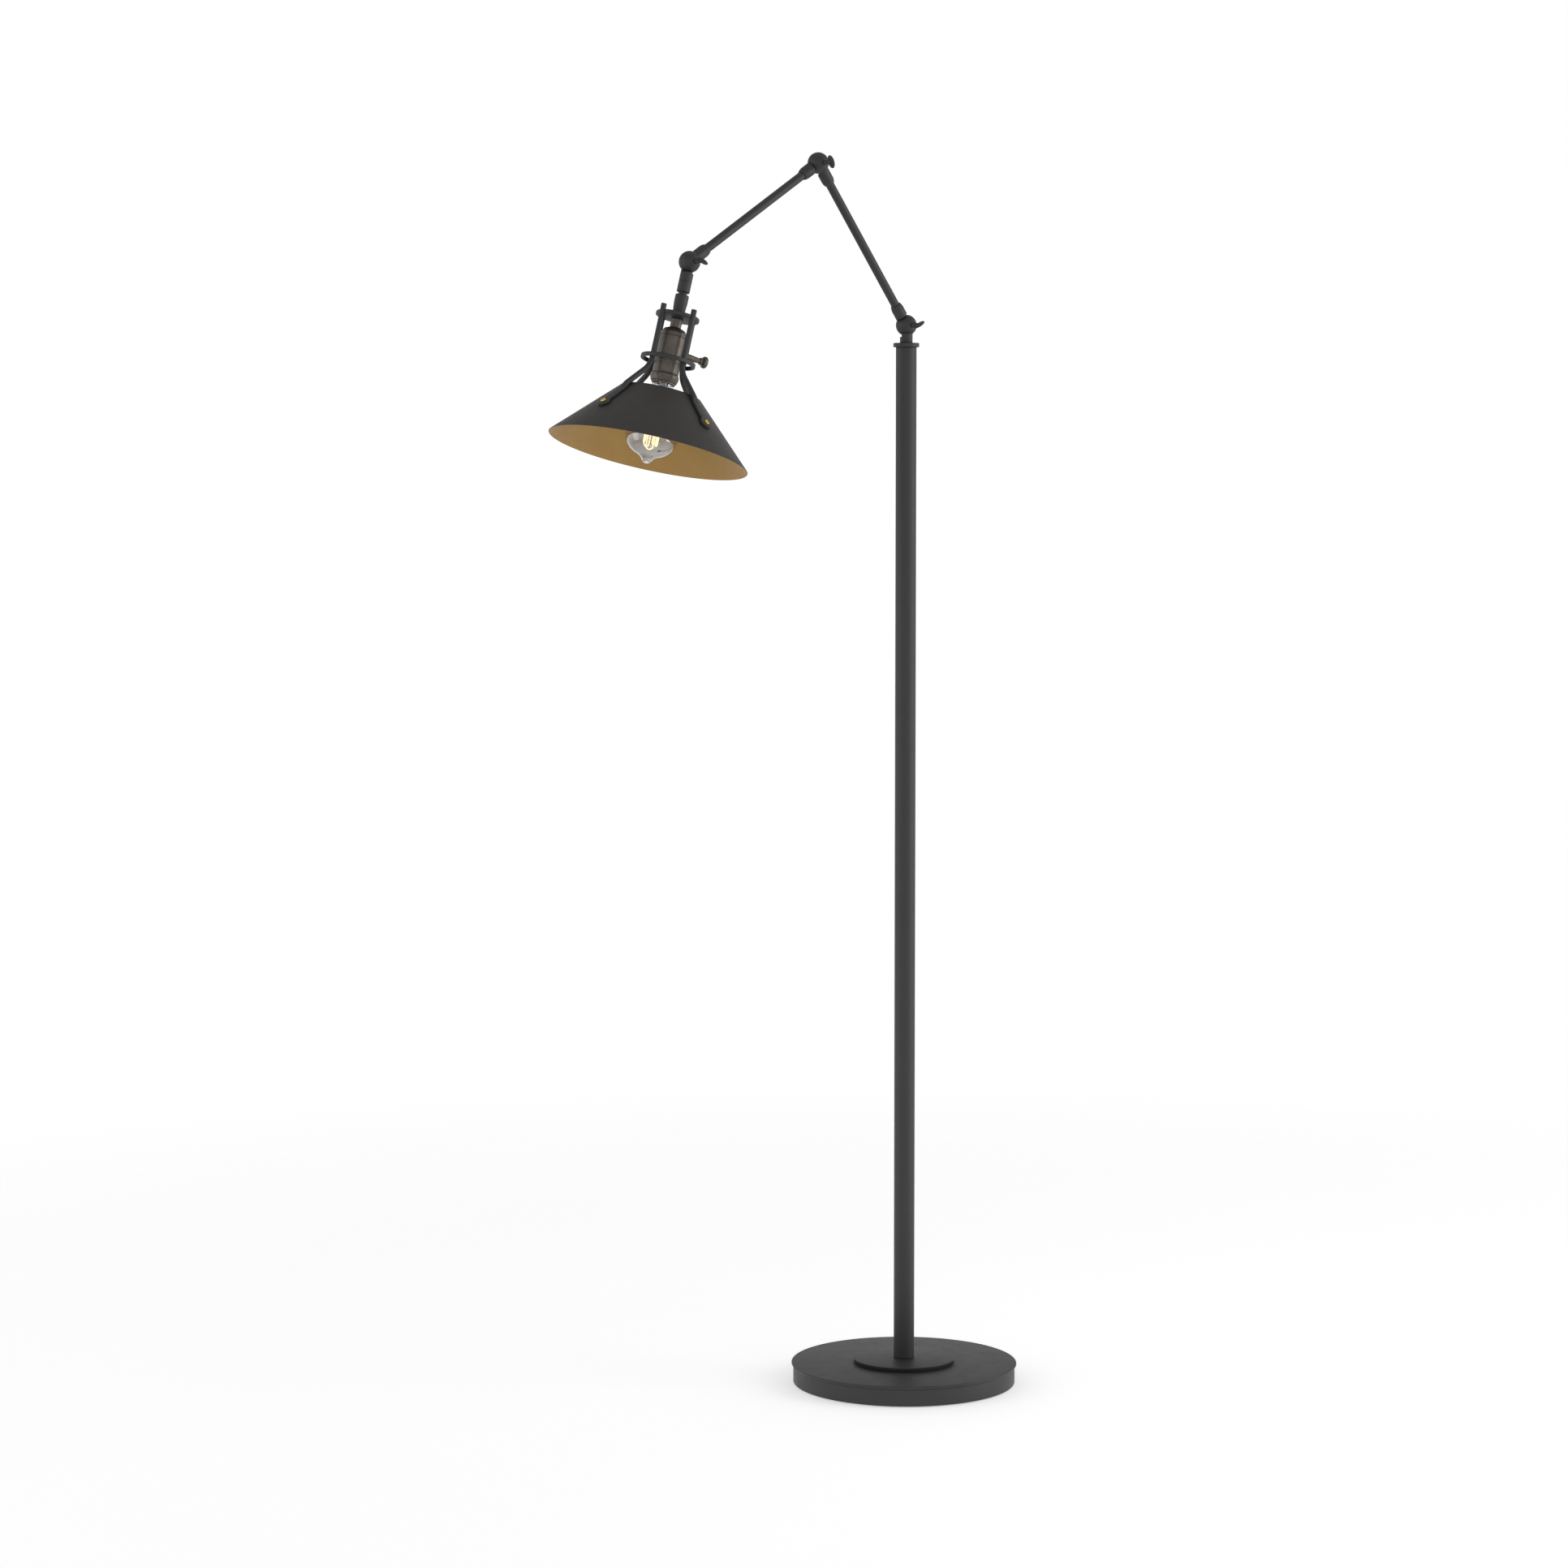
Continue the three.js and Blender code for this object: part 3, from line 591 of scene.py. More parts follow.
BALL = 12.8
SPLIT = 0.15  # half the gap between the two halves
RIM_IN = 0.18  # the chamfer on a half's edge
RIM_UP = 0.2
SPOT = 12.2  # flat under the thumbscrew's collar
BORE = 2.8
BORE_END = 9.5  # the blind bore in the far half
BOSS = 5.5
BOSS_FACE = 0.6
CHAMBER = 10
CHAMBER_DEPTH = 6
BARREL = 7.6
BARREL_START = 10.3
LEAD_WAY = 2.4
LEAD_WAY_START = 6.5
LEAD_WAY_END = 14.3
TUBE = 5.18
TUBE_BORE = 3.4
TUBE_START = 18.3
SWING_ROOM = 1.0  # between a ball and the other half's barrel
WAIST = 5.6  # the barrel's radius beside the other half's ball
SHOULDER = 14.1  # where it reaches full size on that side
THREAD = 5.15  # the radius of a hole for threaded pipe
GROOVE_HALF = 0.35


def ball_arc(radius, low, high, steps=22):
    """Points on a ball's outline between two depths along the hinge."""
    first, last = math.asin(low / radius), math.asin(high / radius)
    angles = [first + (last - first) * k / steps for k in range(steps + 1)]
    return [(radius * math.cos(angle), radius * math.sin(angle)) for angle in angles]


def dome(radius, low):
    """Points on a ball's outline from a depth along the hinge to its pole."""
    return [*ball_arc(radius, low, radius)[:-1], (0, radius)]


def half_ball(side):
    """Half of a hollow ball about Y, with its boss and the screw's bore."""
    inside = [
        (BORE, BOSS_FACE),
        (BOSS, BOSS_FACE, 0.2),
        (BOSS, CHAMBER_DEPTH, 0.4),
        (CHAMBER, CHAMBER_DEPTH, 0.8),
        (CHAMBER, SPLIT),
        (BALL - RIM_IN, SPLIT),
    ]
    if side > 0:
        outline = [(0, BORE_END), (BORE, BORE_END, 0.3), *inside, *dome(BALL, SPLIT + RIM_UP)]
    else:
        outline = [*inside, *ball_arc(BALL, SPLIT + RIM_UP, SPOT), (BORE, SPOT, 0.2)]
    return spun(turned(outline, 112), -90 * side, "X")


def swing_room(side):
    """The space that the other half's ball needs."""
    radius = BALL + SWING_ROOM
    first_depth = 0.02
    outline = [(0, -SPLIT), (radius, -SPLIT), *dome(radius, first_depth)]
    return spun(turned(outline, 112), 90 * side, "X")


def recess(side):
    """What is cut off a barrel, down to its waist, on the other half's side of the split."""
    far = 2 * BARREL
    ring = turned([(WAIST, 0), (far, 0), (far, SHOULDER, 0.2), (WAIST, SHOULDER)])
    own_side = bmesh.new()
    block = Matrix.Translation((0, side * (far + SPLIT), SHOULDER)) @ Matrix.Scale(2 * far, 4)
    bmesh.ops.create_cube(own_side, size=1, matrix=block)
    return combined(ring, [own_side], "DIFFERENCE")


def lead_way():
    return cylinder(LEAD_WAY, LEAD_WAY_START, LEAD_WAY_END)


def knuckle(side, barrel):
    """A knuckle half with its barrel along Z, cut clear of the other half's ball."""
    cuts = [swing_room(side), recess(side), lead_way()]
    ball = combined(half_ball(side), [lead_way()], "DIFFERENCE")
    arm = combined(barrel, cuts, "DIFFERENCE")
    return combined(ball, [arm], "UNION")


def arm_barrel():
    groove, taper_start, taper_end, end, seat = 24.6, 26.6, 29.4, 30.0, 18
    socket = TUBE + 0.3
    return turned(
        [
            (LEAD_WAY, BARREL_START),
            (BARREL, BARREL_START),
            (BARREL, groove - GROOVE_HALF, 0.15),
            (BARREL - 0.4, groove),
            (BARREL - 0.12, groove + GROOVE_HALF, 0.15),
            (BARREL - 0.35, taper_start, 2.0),
            (socket + 0.9, taper_end, 0.8),
            (socket + 0.3, end, 0.15),
            (socket, end),
            (socket, seat),
            (LEAD_WAY, seat),
        ]
    )


def stem_barrel():
    radius = 7.75
    bottom = (LOWER_BALL.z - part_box("post_swivel")[0][2]) / MM
    seat = bottom - 7.5
    return turned(
        [
            (LEAD_WAY, BARREL_START),
            (radius, BARREL_START),
            (radius, bottom, 0.35),
            (THREAD, bottom),
            (THREAD, seat),
            (LEAD_WAY, seat),
        ]
    )


def head_barrel():
    groove, end, seat = 24, 37, 27.5
    radius = 7.7
    bore = 5.45
    return turned(
        [
            (LEAD_WAY, BARREL_START),
            (radius, BARREL_START),
            (radius, groove - GROOVE_HALF, 0.12),
            (radius - 0.35, groove),
            (radius, groove + GROOVE_HALF, 0.12),
            (radius, end, 0.7),
            (bore, end, 0.3),
            (bore, seat),
            (LEAD_WAY, seat),
        ]
    )


SCREW = 2.5
SCREW_END = 8.5  # past the hinge's middle
COLLAR = 3.4
PADDLE_REACH = 24
PADDLE_HALF_LENGTH = 5.3
PADDLE_HALF_WIDTH = 8
PADDLE_HALF_THICKNESS = 1.6
PADDLE_DISH = 0.08  # how far its faces are hollowed, as a share of its thickness
PADDLE_TURN = {"lower": 58, "elbow": -20, "head": -60}  # degrees about the hinge, from upright


def paddle():
    """The thumbscrew's flat oval grip: its long way along Z, its short way along Y."""
    steps = 15
    around = 72
    middle = 0.02  # the reach of the first and last ring, on the two faces
    rings = []
    for k in range(-steps, steps + 1):
        level = math.sin(math.pi / 2 * k / steps)
        reach, dish = middle, PADDLE_DISH
        if abs(k) < steps:
            reach = (1 - abs(level) ** 2.2) ** 0.22
            dish = PADDLE_DISH * (1 - reach**4)
        depth = PADDLE_HALF_THICKNESS * level * (1 - dish)
        ring = []
        for n in range(around):
            angle = 2 * math.pi * n / around
            y = reach * PADDLE_HALF_LENGTH * math.sin(angle) - PADDLE_REACH
            z = reach * PADDLE_HALF_WIDTH * math.cos(angle)
            ring.append((depth, y, z))
        rings.append(ring)
    return lofted(rings)


def thumbscrew():
    seat = SPOT + 0.3
    collar_top = seat + 1.9
    shank = turned(
        [
            (0, -SCREW_END),
            (SCREW, -SCREW_END, 0.5),
            (SCREW, seat),
            (COLLAR, seat, 0.2),
            (COLLAR, collar_top, 0.5),
            (SCREW - 0.05, collar_top + 0.7, 0.5),
            (SCREW - 0.2, PADDLE_REACH - 4, 0.5),
            (1.6, PADDLE_REACH),
            (0, PADDLE_REACH),
        ],
        64,
    )
    return combined(spun(shank, 90, "X"), [paddle()], "UNION")


def fit_thumbscrew(name, centre):
    matrix = Matrix.Translation(centre) @ Matrix.Rotation(math.radians(PADDLE_TURN[name]), 4, "Y")
    painted(name + "_wing", thumbscrew(), matrix, name + "_screw", name + "_thumbscrew")


def fit_arm(name, start, end, length):
    """An arm's two knuckle halves and its tube. Its body is named after it."""
    painted(name + "_rear_half", knuckle(1, arm_barrel()), start, name, name + "_lower_knuckle")
    painted(name + "_front_half", knuckle(-1, arm_barrel()), end, name, name + "_upper_knuckle")
    tube_end = length - TUBE_START
    rod = [(TUBE_BORE, TUBE_START), (TUBE, TUBE_START, 0.2), (TUBE, tube_end, 0.2), (TUBE_BORE, tube_end)]
    painted(name + "_rod", turned(rod), start, name, name + "_tube")


painted("swivel_stem", knuckle(-1, stem_barrel()), SWIVEL, "swivel", "post_swivel")
fit_arm("lower_arm", LOWER, LOWER_END, (ELBOW_BALL - LOWER_BALL).length / MM)
fit_arm("upper_arm", UPPER, UPPER_END, (HEAD_BALL - ELBOW_BALL).length / MM)
painted("head_rear_half", knuckle(1, head_barrel()), HEAD, "head_tilt", "head_knuckle")
fit_thumbscrew("lower", LOWER_BALL)
fit_thumbscrew("elbow", ELBOW_BALL)
fit_thumbscrew("head", HEAD_BALL)

# ---- Head, measured down its axis from the ball's centre ----

SLOPE = math.radians(45.16)  # of the shade
SHADE_TOP = 158.8
SHADE_TOP_RADIUS = 47.4
SHADE_MOUTH = 229.8
SHADE_MOUTH_RADIUS = 118
SHEET = 1.0
RIVET_CIRCLE = 82.7
LEG_CIRCLE = 25.2
LEG = 3.3
LEG_TOP = 58
LEG_BEND_START = 120
LEG_BEND_RADIUS = 27.5
STRAP_HALF_THICKNESS = 1.6
STRAP_HALF_WIDTH = 4.3
STRAP_LENGTH = 38
STRAP_GAP = 0.3  # between a strap and the shade
TAB_RADIUS = 7.7
YOKE_TOP = 64.5
YOKE_BOTTOM = 69
YOKE_RADIUS = 25.75
RING_MIDDLE = 119.8
RING_HALF = 2.4
RING_INNER = 28.8
RING_OUTER = 32.3
FIRST_LEG = Matrix.Rotation(math.radians(-6.5), 4, "Z")

DOWN_SLOPE = Vector((math.cos(SLOPE), 0, math.sin(SLOPE)))
OFF_SHADE = Vector((math.sin(SLOPE), 0, -math.cos(SLOPE)))
RIVET_PLACE = Vector((RIVET_CIRCLE, 0, SHADE_TOP + (RIVET_CIRCLE - SHADE_TOP_RADIUS) * math.tan(SLOPE)))
OUT = Vector((1, 0, 0))
ACROSS = Vector((0, 1, 0))


def leg_turn(step):
    return FIRST_LEG @ Matrix.Rotation(step * math.pi / 2, 4, "Z")


def oval_ring(centre, across, out, half_width, half_thickness, squareness=2, count=40):
    """A ring of a superellipse: 2 is an ellipse, more is squarer."""
    ring = []
    for k in range(count):
        angle = 2 * math.pi * k / count
        c, s = math.cos(angle), math.sin(angle)
        x = math.copysign(abs(c) ** (2 / squareness), c) * half_width
        y = math.copysign(abs(s) ** (2 / squareness), s) * half_thickness
        ring.append(centre + across * x + out * y)
    return ring


def smooth_step(value):
    value = min(1.0, max(0.0, value))
    return value * value * (3 - 2 * value)


def leg_rod():
    """The rings of a leg's round rod down to the bend's end, and the middle of the last one."""
    end_round = 0.6
    end_steps = 4
    bend_steps = 16
    rings = []
    for k in range(end_steps):
        turn = math.pi / 2 * k / end_steps
        size = LEG - end_round + end_round * math.sin(turn)
        centre = Vector((LEG_CIRCLE, 0, LEG_TOP + end_round * (1 - math.cos(turn))))
        rings.append(oval_ring(centre, ACROSS, OUT, size, size))
    for level in (LEG_TOP + end_round, LEG_BEND_START - 20, LEG_BEND_START):
        rings.append(oval_ring(Vector((LEG_CIRCLE, 0, level)), ACROSS, OUT, LEG, LEG))
    for k in range(1, bend_steps + 1):
        angle = (math.pi / 2 - SLOPE) * k / bend_steps
        x = LEG_CIRCLE + LEG_BEND_RADIUS * (1 - math.cos(angle))
        z = LEG_BEND_START + LEG_BEND_RADIUS * math.sin(angle)
        centre = Vector((x, 0, z))
        out = Vector((math.cos(angle), 0, -math.sin(angle)))
        rings.append(oval_ring(centre, ACROSS, out, LEG, LEG))
    return rings, centre


def strap_stations(start):
    """Distances along the shade from the rivet, even at first and closer round the tab."""
    even_steps = 26
    tab_steps = 18
    tab_start = -2.0
    tab_end = TAB_RADIUS - 0.005
    even = [start + (tab_start - start) * k / even_steps for k in range(1, even_steps + 1)]
    turns = [math.pi / 2 * k / tab_steps for k in range(1, tab_steps + 1)]
    return even + [tab_start + (tab_end - tab_start) * math.sin(turn) for turn in turns]


def leg():
    """One leg at angle 0: a round rod, bent out along the shade and flattened to a strap and tab."""
    flatten = 9.0  # the length over which the rod becomes flat
    strap_squareness = 7
    tab_blend = 6
    rings, end = leg_rod()
    rod_offset = (end - RIVET_PLACE).dot(OFF_SHADE)
    strap_offset = STRAP_GAP + STRAP_HALF_THICKNESS
    for along in strap_stations((end - RIVET_PLACE).dot(DOWN_SLOPE)):
        amount = smooth_step((along + STRAP_LENGTH + flatten / 2) / flatten)
        width = LEG + (STRAP_HALF_WIDTH - LEG) * amount
        thick = LEG + (STRAP_HALF_THICKNESS - LEG) * amount
        if along > -TAB_RADIUS:
            tab = math.sqrt(TAB_RADIUS**2 - along**2)
            neck = STRAP_HALF_WIDTH if along < 0 else 0
            width = (tab**tab_blend + neck**tab_blend) ** (1 / tab_blend)
        offset = rod_offset + (strap_offset - rod_offset) * amount
        centre = RIVET_PLACE + DOWN_SLOPE * along + OFF_SHADE * offset
        squareness = 2 + (strap_squareness - 2) * amount
        rings.append(oval_ring(centre, ACROSS, OFF_SHADE, width, thick, squareness))
    return lofted(rings)


def rivet():
    """A rivet with a dimpled head on the strap and a flat one inside the shade, along Z."""
    seat = 2 * STRAP_HALF_THICKNESS + 2 * STRAP_GAP
    inner_seat = -SHEET - STRAP_GAP
    shank = 2
    return turned(
        [
            (0, inner_seat - 1.2),
            (2.3, inner_seat - 1.1, 0.5),
            (3, inner_seat, 0.2),
            (shank, inner_seat),
            (shank, seat),
            (3.4, seat, 0.3),
            (3.0, seat + 1.1, 0.6),
            (1.7, seat + 1.5, 0.3),
            (1.3, seat + 0.9, 0.3),
            (0, seat + 0.9),
        ],
        64,
    )


def shade():
    """The cone's sheet, charcoal outside and gold inside."""
    gold_side = -0.35  # how far a face looks inwards, from which it is gold
    top = Vector((SHADE_TOP_RADIUS, SHADE_TOP))
    mouth = Vector((SHADE_MOUTH_RADIUS, SHADE_MOUTH))
    inward = Vector((-OFF_SHADE.x, -OFF_SHADE.z)) * SHEET
    outline = [(*top, 0.35), (*mouth, 0.45), (*(mouth + inward), 0.45), (*(top + inward), 0.35)]
    mesh = turned(outline, 256)
    made = piece("shade_cone", mesh, HEAD, "head", SHADE_COAT, ["shade"], 50)
    made.data.materials.append(GOLD)
    to_head = HEAD.to_3x3().transposed()
    back = HEAD.inverted()
    for face in made.data.polygons:
        normal = to_head @ face.normal
        centre = back @ face.center
        radial = Vector((centre.x, centre.y, 0)).normalized()
        facing = normal.dot(radial) * OFF_SHADE.x + normal.z * OFF_SHADE.z
        face.material_index = 1 if facing < gold_side else 0


def neck_pipe():
    radius, bore, top, bottom = 4.85, 3.2, 28, 51
    outline = [(bore, top), (radius, top), (radius, bottom), (bore, bottom)]
    painted("neck_pipe", turned(outline, 64), HEAD, "head", "swivel_neck")


def coupling():
    top, widest, bottom = 40, 49.5, YOKE_TOP - 0.3
    outline = [(THREAD, top), (8, top, 1.4), (8.05, widest, 6.0), (6.85, bottom, 0.3), (THREAD, bottom)]
    painted("coupling", turned(outline), HEAD, "head", "head_coupling")


def yoke_plate():
    """The disc under the coupling, with a notch in its rim for each leg."""
    disc = turned(
        [
            (THREAD, YOKE_TOP),
            (YOKE_RADIUS, YOKE_TOP, 1.0),
            (YOKE_RADIUS, YOKE_BOTTOM, 1.0),
            (THREAD, YOKE_BOTTOM),
        ],
        128,
    )
    at_leg = Matrix.Translation((LEG_CIRCLE, 0, 0))
    room = 0.3
    notches = [
        moved(cylinder(LEG + room, YOKE_TOP - 1, YOKE_BOTTOM + 1), leg_turn(k) @ at_leg) for k in range(4)
    ]
    painted("yoke_plate", combined(disc, notches, "DIFFERENCE"), HEAD, "head", "yoke_disc")


def yoke_hoop():
    """The ring round the four legs."""
    top, bottom = RING_MIDDLE - RING_HALF, RING_MIDDLE + RING_HALF
    corners = [(RING_INNER, top), (RING_OUTER, top), (RING_OUTER, bottom), (RING_INNER, bottom)]
    outline = [(*corner, 0.7) for corner in corners]
    painted("yoke_hoop", turned(outline, 160), HEAD, "head", "yoke_ring")


def legs_and_rivets():
    slope_frame = Matrix((DOWN_SLOPE, OFF_SHADE.cross(DOWN_SLOPE), OFF_SHADE)).transposed().to_4x4()
    onto_shade = Matrix.Translation(RIVET_PLACE * MM) @ slope_frame
    for k in range(4):
        turn = HEAD @ leg_turn(k)
        number = str(k + 1)
        painted("leg_" + number, leg(), turn, "head", "shade_leg_" + number, 50)
        place = turn @ onto_shade
        replaced = ["rivet_" + number]
        piece("rivet_head_" + number, rivet(), place, "head", RIVET_BRASS, replaced)


neck_pipe()
coupling()
yoke_plate()
yoke_hoop()
legs_and_rivets()
shade()

# ---- Socket, knob and lamp ----

SHELL = 15.4
CAP_BOTTOM = 91
SOCKET_BEAD = 121.8  # the middle of the bead round the shell


def socket_piece(name, mesh, matrix, body, replaced):
    piece(name, mesh, matrix, body, BRONZE, [replaced])


def socket_cap():
    top = YOKE_BOTTOM + 0.3
    neck = 6.6
    side = SHELL - 0.1
    rim = SHELL + 0.25
    inside = SHELL - 1
    outline = [
        (THREAD, top),
        (neck + 0.3, top, 0.3),
        (neck + 0.3, top + 2.1, 0.3),
        (neck, top + 2.6, 0.2),
        (neck, 79.9, 0.6),
        (8.2, 80.7, 1.0),
        (12.6, 82.5, 4.0),
        (side, 87.0, 2.0),
        (side, 88.6, 0.3),
        (rim, 89.1, 0.3),
        (rim, CAP_BOTTOM - 0.2, 0.3),
        (SHELL - 0.4, CAP_BOTTOM, 0.1),
        (inside, CAP_BOTTOM),
        (inside, 88),
        (11.5, 84.2),
        (THREAD, 82),
    ]
    socket_piece("socket_top", turned(outline, 128), HEAD, "head", "socket_cap")


def socket_shell():
    """The shell with a bead round its middle, a swelling at its mouth, and the knob's window."""
    top = CAP_BOTTOM + 0.3
    inside = SHELL - 0.8
    swelling = SHELL + 1.35
    outline = [
        (inside, top),
        (SHELL, top, 0.3),
        (SHELL, SOCKET_BEAD - 0.9, 0.4),
        (SHELL + 0.45, SOCKET_BEAD - 0.4, 0.3),
        (SHELL + 0.45, SOCKET_BEAD + 0.4, 0.3),
        (SHELL, SOCKET_BEAD + 0.9, 0.4),
        (SHELL, 134.5, 0.5),
        (SHELL - 0.55, 135.3, 0.3),
        (SHELL + 0.2, 136.0, 0.3),
        (swelling, 137.2, 0.6),
        (swelling, 140.4, 2.5),
        (SHELL - 0.1, 145.2, 0.4),
        (SHELL - 1.6, 145.6, 0.3),
        (SHELL - 1.7, 147.6, 0.4),
        (SHELL - 2.4, 147.6, 0.2),
        (SHELL - 1.2, 144.6),
        (inside, 140),
    ]
    window_radius = 4.6
    to_knob = HEAD.inverted() @ KNOB
    to_knob.translation /= MM
    window = moved(cylinder(window_radius, SHELL - 5, SHELL + 5), to_knob)
    shell = combined(turned(outline, 128), [window], "DIFFERENCE")
    socket_piece("socket_body", shell, HEAD, "head", "socket_shell")


def knob():
    """The switch's key: a stem, a long taper, a bead and a dished button."""
    stem, bead, button = 2.4, 4.25, 7.0
    outline = [
        (0, 6),
        (stem, 6),
        (stem, 14.8),
        (4.15, 16.3, 0.5),
        (3.95, 27, 4.0),
        (3.15, 37.6, 0.5),
        (3.15, 38.8, 0.3),
        (bead, 39.4, 0.4),
        (bead, 41.1, 0.4),
        (3.5, 41.6, 0.4),
        (3.6, 42.4, 0.4),
        (button - 1.1, 43.0, 0.6),
        (button, 44.4, 0.8),
        (button, 46.9, 0.9),
        (button - 1.1, 48.1, 0.7),
        (4.6, 48.2, 0.4),
        (3.9, 47.8, 0.4),
        (0, 48.4),
    ]
    socket_piece("knob", turned(outline), KNOB, "switch_knob", "turn_knob")


def spline(points, steps):
    """A Catmull-Rom curve through points of any dimension."""
    ends = [2 * points[0] - points[1], *points, 2 * points[-1] - points[-2]]
    result = []
    for i in range(1, len(ends) - 2):
        a, b, c, d = ends[i - 1 : i + 3]
        for k in range(steps):
            t = k / steps
            line = 2 * b + (c - a) * t
            square = (2 * a - 5 * b + 4 * c - d) * t * t
            cube = (3 * b - a - 3 * c + d) * t * t * t
            result.append(0.5 * (line + square + cube))
    result.append(points[-1])
    return result


GLASS_WALL = 0.8
GLASS_TIP = 242.5
GLASS_INNER_TIP = 240.2  # the hollow ends above this level
BULB_CORNERS = [
    (12, 138),
    (12.2, 147),
    (14, 153),
    (19.5, 162),
    (25.5, 174),
    (29.4, 187),
    (30.8, 199),
    (31, 207),
    (30.2, 214.5),
    (27.6, 221.5),
    (23, 227),
    (17.5, 230.9),
    (12, 233.2),
    (8.6, 235.4),
    (6.4, 238.2),
    (4.2, 240.8),
    (2.2, 242.1),
    (0, GLASS_TIP),
]


def bulb_glass():
    """A blown bulb: a narrow neck, a round belly and a sealed tip, with an even wall."""
    narrowest = 0.4
    outer = spline([Vector(corner) for corner in BULB_CORNERS], 6)
    inner = []
    for i, point in enumerate(outer):
        along = (outer[min(i + 1, len(outer) - 1)] - outer[max(i - 1, 0)]).normalized()
        place = Vector((point.x - GLASS_WALL * along.y, point.y + GLASS_WALL * along.x))
        if place.x > narrowest and place.y < GLASS_INNER_TIP:
            inner.append(place)
    outline = [(0, GLASS_TIP), *reversed(outer[:-1]), *inner, (0, inner[-1].y + 0.15)]
    glass = turned([tuple(point) for point in outline], 128)
    piece("bulb_envelope", glass, HEAD, "head", GLASS, ["bulb_glass"], 60)


def glass_stem():
    outline = [
        (0, 139),
        (8, 139, 1.0),
        (4.5, 147, 4.0),
        (3, 165, 3.0),
        (2.2, 182, 2.0),
        (1.4, 205, 1.0),
        (0, 207),
    ]
    piece("stem_glass", turned(outline, 48), HEAD, "head", GLASS, ["bulb_stem"])


FILAMENT_CIRCLE = 7.6
FILAMENT_TOP = 178
FILAMENT_FRONT = math.radians(-52)
FILAMENT_LOOPS = [(4.1, 227), (3.5, 219), (3.6, 222), (3.5, 218), (3.6, 221)]  # half gap and lowest level
FILAMENT_WIRE = 0.75


def wire(points, radius, sides):
    """A round wire through points, with closed ends."""
    rings = []
    side = Vector((0.3, 0.9, 0.1))  # any direction that the wire doesn't take
    for i, point in enumerate(points):
        along = (points[min(i + 1, len(points) - 1)] - points[max(i - 1, 0)]).normalized()
        side = (side - side.dot(along) * along).normalized()
        rings.append(oval_ring(point, side, along.cross(side), radius, radius, count=sides))
    return lofted(rings)


def hairpin(angle, half_gap, bottom):
    """Points down one side, round a bend at the bottom and up the other, at an angle round the axis."""
    steps = 12
    out = Vector((math.cos(angle), math.sin(angle), 0)) * FILAMENT_CIRCLE
    along = Vector((-math.sin(angle), math.cos(angle), 0)) * half_gap
    bend = bottom - half_gap
    levels = [FILAMENT_TOP + (bend - FILAMENT_TOP) * k / steps for k in range(steps + 1)]
    down = [out + along + UP * level for level in levels]
    up = [out - along + UP * level for level in reversed(levels)]
    turns = [math.pi * k / steps for k in range(1, steps)]
    round_bend = [
        out + along * math.cos(turn) + UP * (bend + half_gap * math.sin(turn)) for turn in turns
    ]
    return down + round_bend + up


def filament():
    """One wire wound up and down round the stem, in tall hairpins."""
    route = []
    for k, (half_gap, bottom) in enumerate(FILAMENT_LOOPS):
        angle = 2 * math.pi * k / len(FILAMENT_LOOPS) + FILAMENT_FRONT
        route.extend(hairpin(angle, half_gap, bottom))
    mesh = wire(route, FILAMENT_WIRE, 10)
    piece("filament_loops", mesh, HEAD, "head", FILAMENT, ["bulb_filament"])


socket_cap()
socket_shell()
knob()
bulb_glass()
glass_stem()
filament()

# ---- Studio, in metres ----

FLOOR_RADIUS = 3.0
FLOOR_SOLID = 0.5  # radius out to which the floor is opaque; beyond it fades into the backdrop
FLOOR_CLEAR = 2.4
FLOOR_GLOW = 0.46
HORIZON_GLOW = 1.08
ZENITH_GLOW = 0.1
WHITE = colour(1.0, 1.0, 1.0)


def floor():
    mesh = bmesh.new()
    bmesh.ops.create_circle(mesh, cap_ends=True, segments=96, radius=FLOOR_RADIUS)
    made = raw_object(mesh, "floor")
    m = Nodes("studio_floor")
    m.set(
        Base_Color=m.mix(m.noise(2.0), colour(0.86, 0.86, 0.86), colour(0.88, 0.88, 0.88)),
        Roughness=0.9,
        Emission_Color=WHITE,
        Emission_Strength=FLOOR_GLOW,
    )
    distance = m.add("ShaderNodeVectorMath", {0: m.place}, operation="LENGTH").outputs["Value"]
    m.clear_where(m.spread(distance, FLOOR_SOLID, FLOOR_CLEAR, 0.0, 1.0))
    made.data.materials.append(m.material)


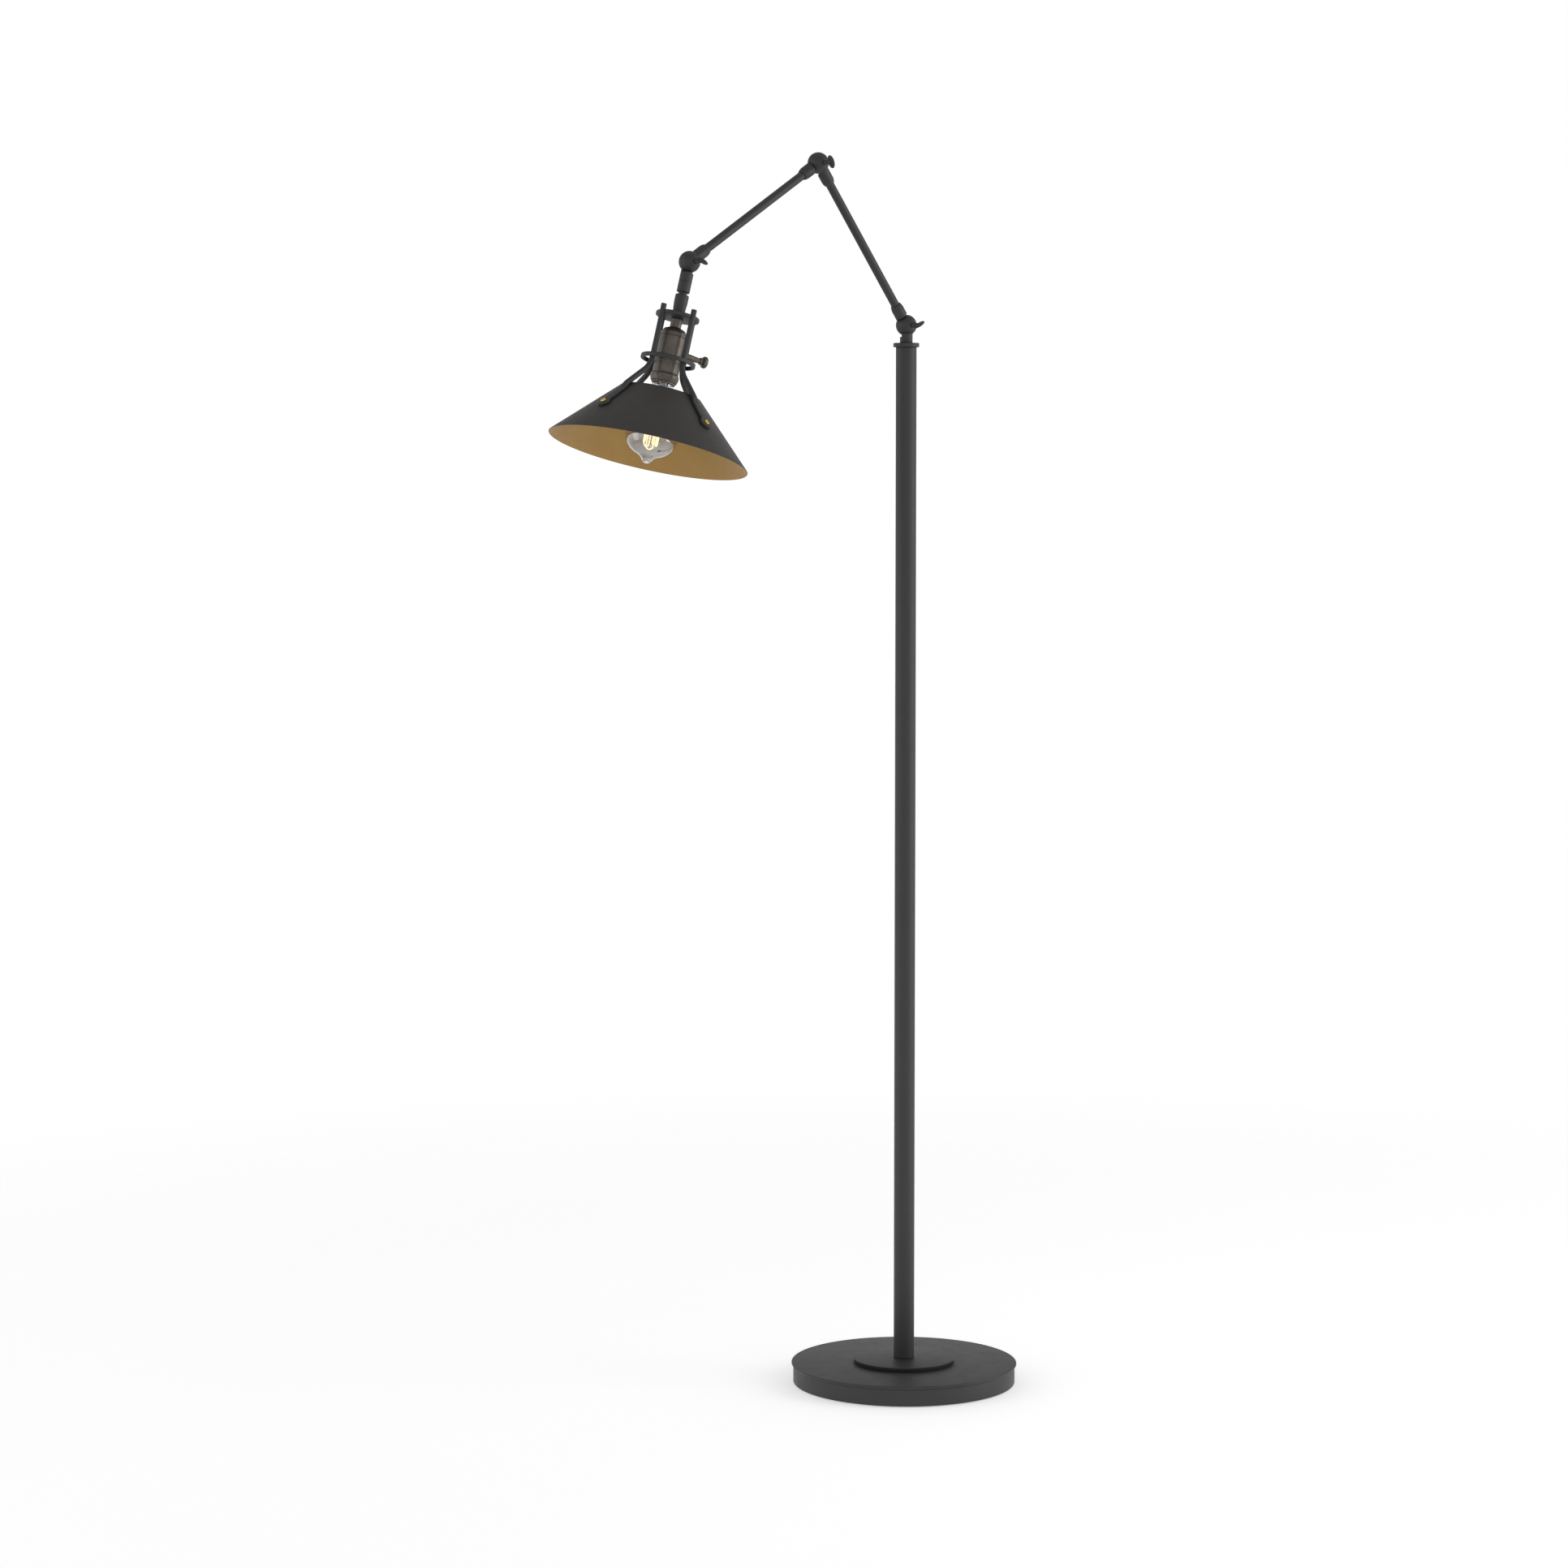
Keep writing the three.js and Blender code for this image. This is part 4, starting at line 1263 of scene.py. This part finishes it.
def backdrop():
    """A white backdrop that lights the lamp mostly from the sides."""
    world = bpy.data.worlds.new("studio")
    bpy.context.scene.world = world
    world.use_nodes = True
    tree = world.node_tree
    background = tree.nodes["Background"]
    background.inputs["Color"].default_value = WHITE
    place = tree.nodes.new("ShaderNodeTexCoord")
    split = tree.nodes.new("ShaderNodeSeparateXYZ")
    tree.links.new(place.outputs["Generated"], split.inputs[0])
    height = tree.nodes.new("ShaderNodeMath")
    height.operation = "ABSOLUTE"
    tree.links.new(split.outputs["Z"], height.inputs[0])
    glow = tree.nodes.new("ShaderNodeMapRange")
    glow.inputs["To Min"].default_value = HORIZON_GLOW
    glow.inputs["To Max"].default_value = ZENITH_GLOW
    tree.links.new(height.outputs[0], glow.inputs["Value"])
    path = tree.nodes.new("ShaderNodeLightPath")
    seen = tree.nodes.new("ShaderNodeMath")
    seen.operation = "MAXIMUM"
    tree.links.new(glow.outputs["Result"], seen.inputs[0])
    tree.links.new(path.outputs["Is Camera Ray"], seen.inputs[1])
    tree.links.new(seen.outputs[0], background.inputs["Strength"])


LIGHT_TARGET = Vector((-0.15, 0, 0.9))
LIGHT_DISTANCE = 2.8
SIDE_LIGHT_RAISE = 0.3
TOP_LIGHT_SIZE = (3.0, 3.0)
SIDE_LIGHT_SIZE = (1.4, 3.0)
TOP_POWER = 12
LEFT_POWER = 9
RIGHT_POWER = 30


def soft_light(name, offset, size, power):
    data = bpy.data.lights.new(name, "AREA")
    data.shape = "RECTANGLE"
    data.size, data.size_y = size
    data.energy = power
    made = bpy.data.objects.new(name, data)
    made.location = LIGHT_TARGET + offset
    made.rotation_euler = (-offset).to_track_quat("-Z", "Y").to_euler()
    bpy.context.scene.collection.objects.link(made)


def softboxes():
    """A large softbox above and a tall one on each side, as the camera sees them."""
    toward = Vector((math.sin(CAMERA_AZIMUTH), math.cos(CAMERA_AZIMUTH), 0))
    right = Vector((toward.y, -toward.x, 0)) * LIGHT_DISTANCE
    raised = UP * SIDE_LIGHT_RAISE
    soft_light("top_softbox", UP * LIGHT_DISTANCE, TOP_LIGHT_SIZE, TOP_POWER)
    soft_light("left_softbox", raised - right - toward * 0.8, SIDE_LIGHT_SIZE, LEFT_POWER)
    soft_light("right_softbox", raised + right - toward * 0.4, SIDE_LIGHT_SIZE, RIGHT_POWER)


floor()
backdrop()
softboxes()
bpy.context.scene.view_settings.view_transform = "Standard"
